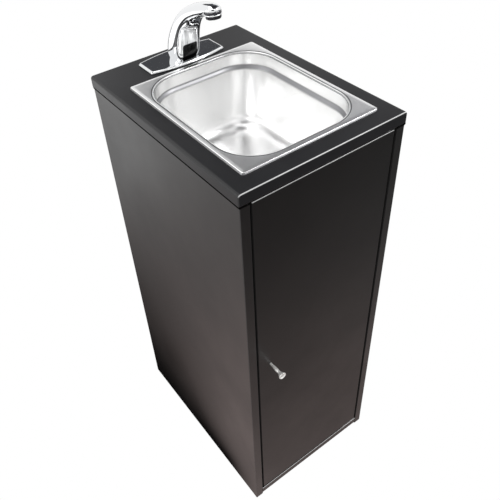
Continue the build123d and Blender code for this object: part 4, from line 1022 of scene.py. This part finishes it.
def rounded_slab(middle, half, radius, front, rise, soften):
    """Raised slab on a face that looks to -Y, with rounded corners and softened edge."""
    loops = []
    for inset, depth in ((0.0, 0.3), (0.0, -rise + soften), (0.3 * soften, -rise + 0.3 * soften),
                         (soften, -rise)):
        loop = []
        for k, (sx, sz) in enumerate(((1, 1), (-1, 1), (-1, -1), (1, -1))):
            reach = max(radius - inset, 0.1)
            for i in range(7):
                angle = math.pi / 2 * (k + i / 6)
                x = middle[0] + (sx * (half[0] - radius) + reach * math.cos(angle)) * mm
                z = middle[1] + (sz * (half[1] - radius) + reach * math.sin(angle)) * mm
                loop.append(Vector((x, front + depth * mm, z)))
        loops.append(loop)
    return skinned(loops)


cover_mid = ((cover_low.x + cover_high.x) / 2, cover_z)
panel_half, panel_corner, panel_rise = (32, 50), 6, 1.0
slab = rounded_slab(cover_mid, panel_half, panel_corner, cover_low.y, panel_rise, 0.8)
panel = made("valve_box_panel", *slab, [control])
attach(panel, "root")


def rounded_bar(length, width, rise):
    """Small rounded bar along X that stands up along +Z, in metres."""
    loops = []
    side = length / 2 - width / 2
    for inset, height in ((0.0, -0.3 * mm), (0.0, rise * 0.6), (0.25 * rise, rise)):
        loop, end = [], width / 2 - inset
        for i in range(16):
            angle = 2 * math.pi * i / 16
            c, s = math.cos(angle), math.sin(angle)
            loop.append(Vector((math.copysign(side, c) + end * c, end * s, height)))
        loops.append(loop)
    return made("bar_pattern", *skinned(loops), [])


rib = rounded_bar(52 * mm, 2.0 * mm, 0.8 * mm)
rib_pitch, rib_y = 5 * mm, cover_low.y - panel_rise * mm
places = [((cover_mid[0], rib_y, cover_z + step * rib_pitch), (0, -1, 0), 1.0)
          for step in range(-3, 4)]
ribs = set_out("valve_box_ribs", places, [(rib, False)], control)
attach(ribs, "root")
bpy.data.objects.remove(rib)


# ---------------------------------------------------------------- water tanks
# Two blow-moulded tanks of natural polyethylene with a grip, a wide neck and a ribbed cap; raised
# ticks on the front show how full they are.
poly, shader, tree = clouded("natural_polyethylene", (0.62, 0.64, 0.60), (0.76, 0.78, 0.74),
                             (7.0, 5.0, 0.6), (0.34, 0.50, 26.0, 4.0), (30.0, 3.0, 0.0012, 0.35))
shader.inputs["Subsurface Weight"].default_value = 0.35
shader.inputs["Subsurface Radius"].default_value = (0.012, 0.012, 0.010)
embossed(tree, shader, noise(tree, object_place(tree), 600.0, 2.0), 0.00008, 0.35)
dressed("fresh_tank", poly)
dressed("waste_tank", poly)

cap_black, shader, tree = moulded("ribbed_cap_plastic", (0.008, 0.008, 0.009),
                                  (0.014, 0.014, 0.015), 0.34, 0.48)
dressed("fresh_tank_cap", cap_black)
dressed("waste_tank_cap", cap_black)

# Fine ticks and long marks: width and height in millimetres, middle from the tank's left side,
# rise from one to the next as a share of the tank's height under its shoulders, and count.
tank_scale = [("_ticks", 12.0, 1.3, 34 * mm, 0.07, 11), ("_marks", 22.0, 1.5, 39 * mm, 0.35, 3)]
shoulders, lowest = 36 * mm, 0.14
for tank in ("fresh_tank", "waste_tank"):
    low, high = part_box(tank)
    body_height = high.z - shoulders - low.z
    for kind, wide, tall, middle, rise, count in tank_scale:
        tick = rounded_bar(1 * mm, 1 * mm, 0.5 * mm)
        tick.data.transform(Matrix.Diagonal((wide, tall, 1.0, 1.0)))
        places = [((low.x + middle, low.y, low.z + body_height * (lowest + rise * i)),
                   (0, -1, 0), 1.0) for i in range(count)]
        piece = set_out(tank + kind, places, [(tick, False)], poly)
        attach(piece, "root")
        bpy.data.objects.remove(tick)


# ---------------------------------------------------------------- pump
# Diaphragm pump on rubber feet: black enamelled motor can with cooling fins, two bands and studs
# on its bell, a moulded black head with its ports and bolts, and a zinc-plated base plate.
enamel, shader, tree = clouded("black_enamel", (0.009, 0.009, 0.010), (0.016, 0.016, 0.017),
                               (30.0, 4.0), (0.18, 0.30, 60.0, 3.0), (260.0, 3.0, 0.00012, 0.4))
shader.inputs["Coat Weight"].default_value = 0.5
shader.inputs["Coat Roughness"].default_value = 0.12
dressed("pump_motor", enamel)
dressed("pump_base", zinc)

motor_low, motor_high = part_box("pump_motor")
motor_y, motor_z = (motor_low.y + motor_high.y) / 2, (motor_low.z + motor_high.z) / 2
can = (motor_high.z - motor_low.z) / 2


def round_motor(x, radius, angles, way=None):
    """Places on a ring about the motor's axis; they look along way, or else outwards."""
    places = []
    for angle in angles:
        out = (0, math.cos(angle), math.sin(angle))
        places.append(((x, motor_y + out[1] * radius, motor_z + out[2] * radius), way or out, 1.0))
    return places


fin = rounded_bar(62 * mm, 1.6 * mm, 1.1 * mm)
fin_x = (motor_low.x + motor_high.x) / 2 + 5 * mm
fin_count = 26
angles = [math.radians(-62 + 304 * i / (fin_count - 1)) for i in range(fin_count)]
fins = set_out("motor_fins", round_motor(fin_x, can, angles), [(fin, False)], enamel)
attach(fins, "root")
bpy.data.objects.remove(fin)


def motor_band(x, width, rise):
    """Rolled band round the motor can."""
    shape = [(can - 1 * mm, -width / 2), (can + rise * 0.6, -width / 2), (can + rise, -width / 4),
             (can + rise, width / 4), (can + rise * 0.6, width / 2), (can - 1 * mm, width / 2)]
    place = Matrix.Translation((x, motor_y, motor_z)) @ Matrix.Rotation(math.pi / 2, 4, "Y")
    return placed(turned(shape, 72), place)


for i, x in enumerate((motor_low.x + 16 * mm, motor_high.x - 6 * mm)):
    band = made("motor_band_%d" % i, *skinned(motor_band(x, 5 * mm, 0.9 * mm)), [enamel])
    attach(band, "root")

bell_stud = rounded_bar(1 * mm, 1 * mm, 0.5 * mm)
radial = Matrix.Rotation(math.pi / 2, 4, "Z")
bell_stud.data.transform(radial @ Matrix.Diagonal((9.0, 2.2, 1.0, 1.0)))
stud_count, stud_ring = 10, 16 * mm
angles = [2 * math.pi * i / stud_count for i in range(stud_count)]
places = round_motor(motor_low.x, stud_ring, angles, (-1, 0, 0))
studs = set_out("motor_bell_studs", places, [(bell_stud, False)], enamel)
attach(studs, "root")
bpy.data.objects.remove(bell_stud)

bolt_rows = [(3.1, -0.3), (3.1, 0.2), (2.9, 1.5), (2.6, 1.9), (2.0, 1.9), (1.6, 1.1), (0.05, 1.1)]
bolt = made("bolt_pattern", *skinned(turned(in_mm(bolt_rows), 24)), [])
bolt_ring = 24 * mm
angles = [math.radians(30 + 60 * i) for i in range(6)]
places = round_motor(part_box("pump_head")[1].x, bolt_ring, angles, (1, 0, 0))
bolts = set_out("pump_cover_bolts", places, [(bolt, False)], zinc)
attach(bolts, "root")
bpy.data.objects.remove(bolt)


# ---------------------------------------------------------------- battery
# Sealed lead battery in a black moulded case, with a groove round it where the lid is welded on.
# A woven strap holds it down on the shelf, beside the switch.
case, shader, tree = moulded("battery_case_plastic", (0.012, 0.012, 0.014),
                             (0.020, 0.020, 0.023), 0.36, 0.50)
lid_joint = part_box("battery")[1].z - 14 * mm
height = parts_of(tree, object_place(tree))[2]
from_lid = sum_of(tree, height, lid_joint, "SUBTRACT")
from_lid = sum_of(tree, from_lid, 0.0, "ABSOLUTE")
embossed(tree, shader, ranged(tree, from_lid, 0.0, 1.0, 0.0004, 0.0011), 0.0009, 0.9)
dressed("battery", case)

webbing, shader, tree = surface("woven_webbing", (0.014, 0.014, 0.016), 0.82)
shader.inputs["Sheen Weight"].default_value = 0.3
place = object_place(tree)
along, across, up = [striped(tree, place, axis, 0.9 * mm) for axis in "YXZ"]
weave = sum_of(tree, sum_of(tree, along, across, "MULTIPLY"), up)
tinted(tree, shader, weave, (0.008, 0.008, 0.009), (0.030, 0.030, 0.034), 0.1, 1.2)
uneven(tree, shader, place, 0.74, 0.90, 300.0, 3.0)
embossed(tree, shader, weave, 0.0004, 0.8)
dressed("battery_strap", webbing)


# ---------------------------------------------------------------- switch
# Black switch box on the shelf, moulded of the same plastic as the pump's head, with a glossy
# black rocker that tips in it.
rocker_gloss, shader, tree = clouded("rocker_gloss", (0.008, 0.008, 0.008), (0.014, 0.014, 0.014),
                                     (70.0, 3.0), (0.10, 0.22, 120.0, 3.0))
dressed("switch_rocker", rocker_gloss)


# ---------------------------------------------------------------- hoses and leads
# Clear vinyl hoses on the pump, a grey corrugated drain hose, a supply hose in woven steel braid,
# the sensor's black cable and a red and a black lead, each held at both of its ends.
def smooth_line(name, route, count):
    """Points along the smooth line of a route, spaced evenly, in metres."""
    data = bpy.data.curves.new(name, "CURVE")
    data.dimensions = "3D"
    spline = data.splines.new("NURBS")
    spline.points.add(len(route) - 1)
    for point, place in zip(spline.points, route):
        point.co = (*[c * mm for c in place], 1.0)
    spline.order_u = 3
    spline.use_endpoint_u = True
    spline.resolution_u = 24
    guide = linked(name, data)
    view = bpy.context.evaluated_depsgraph_get()
    mesh = bpy.data.meshes.new_from_object(guide.evaluated_get(view))
    raw = [v.co.copy() for v in mesh.vertices]
    bpy.data.objects.remove(guide)
    bpy.data.meshes.remove(mesh)
    marks = [0.0]
    for a, b in zip(raw, raw[1:]):
        marks.append(marks[-1] + (b - a).length)
    line, k = [], 0
    for i in range(count + 1):
        at = marks[-1] * i / count
        while k < len(raw) - 2 and marks[k + 1] < at:
            k += 1
        line.append(raw[k].lerp(raw[k + 1], (at - marks[k]) / max(marks[k + 1] - marks[k], 1e-9)))
    return line, marks[-1]


def tube(name, route, radius, material, steps=160, sides=20, ripple=0.0, pitch=1.0):
    """Tube along a route with a UV map that runs round it and along it in metres."""
    line, length = smooth_line(name, route, steps)
    work = bmesh.new()
    uv = work.loops.layers.uv.new("UVMap")
    normal = None
    rings, angles = [], [2 * math.pi * k / sides for k in range(sides)]
    for i, place in enumerate(line):
        tangent = (line[min(i + 1, steps)] - line[max(i - 1, 0)]).normalized()
        if normal is None:
            normal = tangent.orthogonal().normalized()
        normal = (normal - tangent * normal.dot(tangent)).normalized()
        side = tangent.cross(normal)
        wave = ripple * (0.5 - 0.5 * math.cos(2 * math.pi * length * i / steps / pitch))
        out = radius - wave
        rings.append([work.verts.new(place + out * (normal * math.cos(a) + side * math.sin(a)))
                      for a in angles])
    for i in range(steps):
        for k in range(sides):
            n = (k + 1) % sides
            face = work.faces.new((rings[i][k], rings[i][n], rings[i + 1][n], rings[i + 1][k]))
            around = (k / sides, (k + 1) / sides, (k + 1) / sides, k / sides)
            along_it = (i, i, i + 1, i + 1)
            for corner, u, v in zip(face.loops, around, along_it):
                corner[uv].uv = (u, v * length / steps)
    work.faces.new(rings[0][::-1])
    work.faces.new(rings[-1])
    bmesh.ops.recalc_face_normals(work, faces=work.faces)
    mesh = bpy.data.meshes.new(name)
    work.to_mesh(mesh)
    work.free()
    mesh.materials.append(material)
    mesh.shade_smooth()
    piece = linked(name, mesh)
    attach(piece, "root")
    return piece


def uv_place(tree, around, along_it):
    """The tube's UV map, times the number of repeats round it and per metre along it."""
    inputs = {"Vector": tree.nodes.new("ShaderNodeUVMap").outputs["UV"],
              "Scale": (around, along_it, 1.0)}
    return added(tree, "ShaderNodeMapping", inputs).outputs["Vector"]


def crossed(tree, around, along_it):
    """Two sets of helical strands that cross, from the UV map, 0 between them and 1 on them."""
    u, v = parts_of(tree, uv_place(tree, around, along_it))[:2]
    return [sum_of(tree, sum_of(tree, u, v, way), 1.0, "PINGPONG") for way in ("ADD", "SUBTRACT")]


vinyl, shader, tree = surface("clear_vinyl", (0.72, 0.76, 0.77), 0.18)
shader.inputs["Transmission Weight"].default_value = 0.35
shader.inputs["IOR"].default_value = 1.5
one, two = crossed(tree, 8.0, 160.0)
thread = sum_of(tree, ranged(tree, one, 0.0, 1.0, 0.84, 0.94),
                ranged(tree, two, 0.0, 1.0, 0.84, 0.94), "MAXIMUM")
tinted(tree, shader, thread, (0.60, 0.66, 0.68), (0.92, 0.93, 0.93), 0.1, 0.9)
uneven(tree, shader, object_place(tree), 0.14, 0.26, 40.0, 3.0)
embossed(tree, shader, thread, 0.0003, 0.4)

grey_vinyl, shader, tree = clouded("grey_drain_vinyl", (0.29, 0.30, 0.31), (0.38, 0.39, 0.40),
                                   (30.0, 4.0), (0.32, 0.48, 90.0, 3.0), (500.0, 2.0, 0.00008, 0.4))

braid, shader, tree = surface("steel_braid", (0.58, 0.58, 0.58), 0.34, 1.0)
one, two = crossed(tree, 12.0, 380.0)
over = sum_of(tree, one, two, "MAXIMUM")
tinted(tree, shader, over, (0.16, 0.16, 0.17), (0.72, 0.72, 0.72), 0.45, 0.8)
tree.links.new(ranged(tree, over, 0.5, 0.26, 0.4, 0.9), shader.inputs["Roughness"])
embossed(tree, shader, over, 0.0005, 0.8)


def insulation(name, dark, light):
    """Soft lead insulation."""
    return clouded(name, dark, light, (60.0, 4.0), (0.42, 0.58, 160.0, 3.0),
                   (900.0, 2.0, 0.00004, 0.4))[0]


cable_black = insulation("black_cable", (0.010, 0.010, 0.010), (0.020, 0.020, 0.020))
lead_red = insulation("red_lead", (0.34, 0.012, 0.010), (0.46, 0.022, 0.018))

# Each route's corners, in millimetres, are those of the solid that the tube stands for.
suction = tube("clear_suction_hose", [(-2, 82.6, 512), (-2, -3.4, 512), (-72, -113.6, 512),
                                      (-72, -113.6, 40.3)], 7.0 * mm, vinyl)
pressure = tube("clear_pressure_hose", [(-2, 192.6, 525), (-2, 192.6, 560), (-30, 203.1, 580),
                                        (-30, 203.1, 604)], 7.0 * mm, vinyl, 80)
drain = tube("corrugated_drain_hose", [(0, -12.4, 705), (0, -12.4, 602.1), (72, -113.6, 523.1),
                                       (72, -113.6, 379.3)],
             13.0 * mm, grey_vinyl, 540, 24, 1.3 * mm, 4.5 * mm)
supply = tube("braided_supply_hose", [(20, 203.1, 746), (20, 203.1, 770), (7, 177.6, 842),
                                      (7, 177.6, 892)], 5.0 * mm, braid, 100, 24)
cable = tube("sensor_lead_cable", [(-35, 203.1, 740), (-35, 203.1, 770), (-8, 177.6, 842),
                                   (-8, 177.6, 892)], 2.0 * mm, cable_black, 90, 12)
red = tube("red_battery_lead", [(86.5, 81.1, 583), (86.5, 81.1, 610), (49, 64.6, 593),
                                (49, 64.6, 512)], 1.6 * mm, lead_red, 90, 12)
black = tube("black_motor_lead", [(35, 64.6, 490), (6, 58.6, 486.8), (-58, 61.6, 486.8),
                                  (-64, 77.6, 519), (-64, 109.6, 519)],
             1.6 * mm, cable_black, 120, 12)
for piece, node, slot in (
        (suction, "suction_hose", "clear_vinyl"), (pressure, "pressure_hose", "clear_vinyl"),
        (drain, "drain_hose", "drain_hose_vinyl"), (supply, "supply_hose", "braided_steel"),
        (cable, "sensor_cable", "black_rubber"), (red, "power_leads", "lead_insulation"),
        (black, "power_leads", "lead_insulation")):
    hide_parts(node)
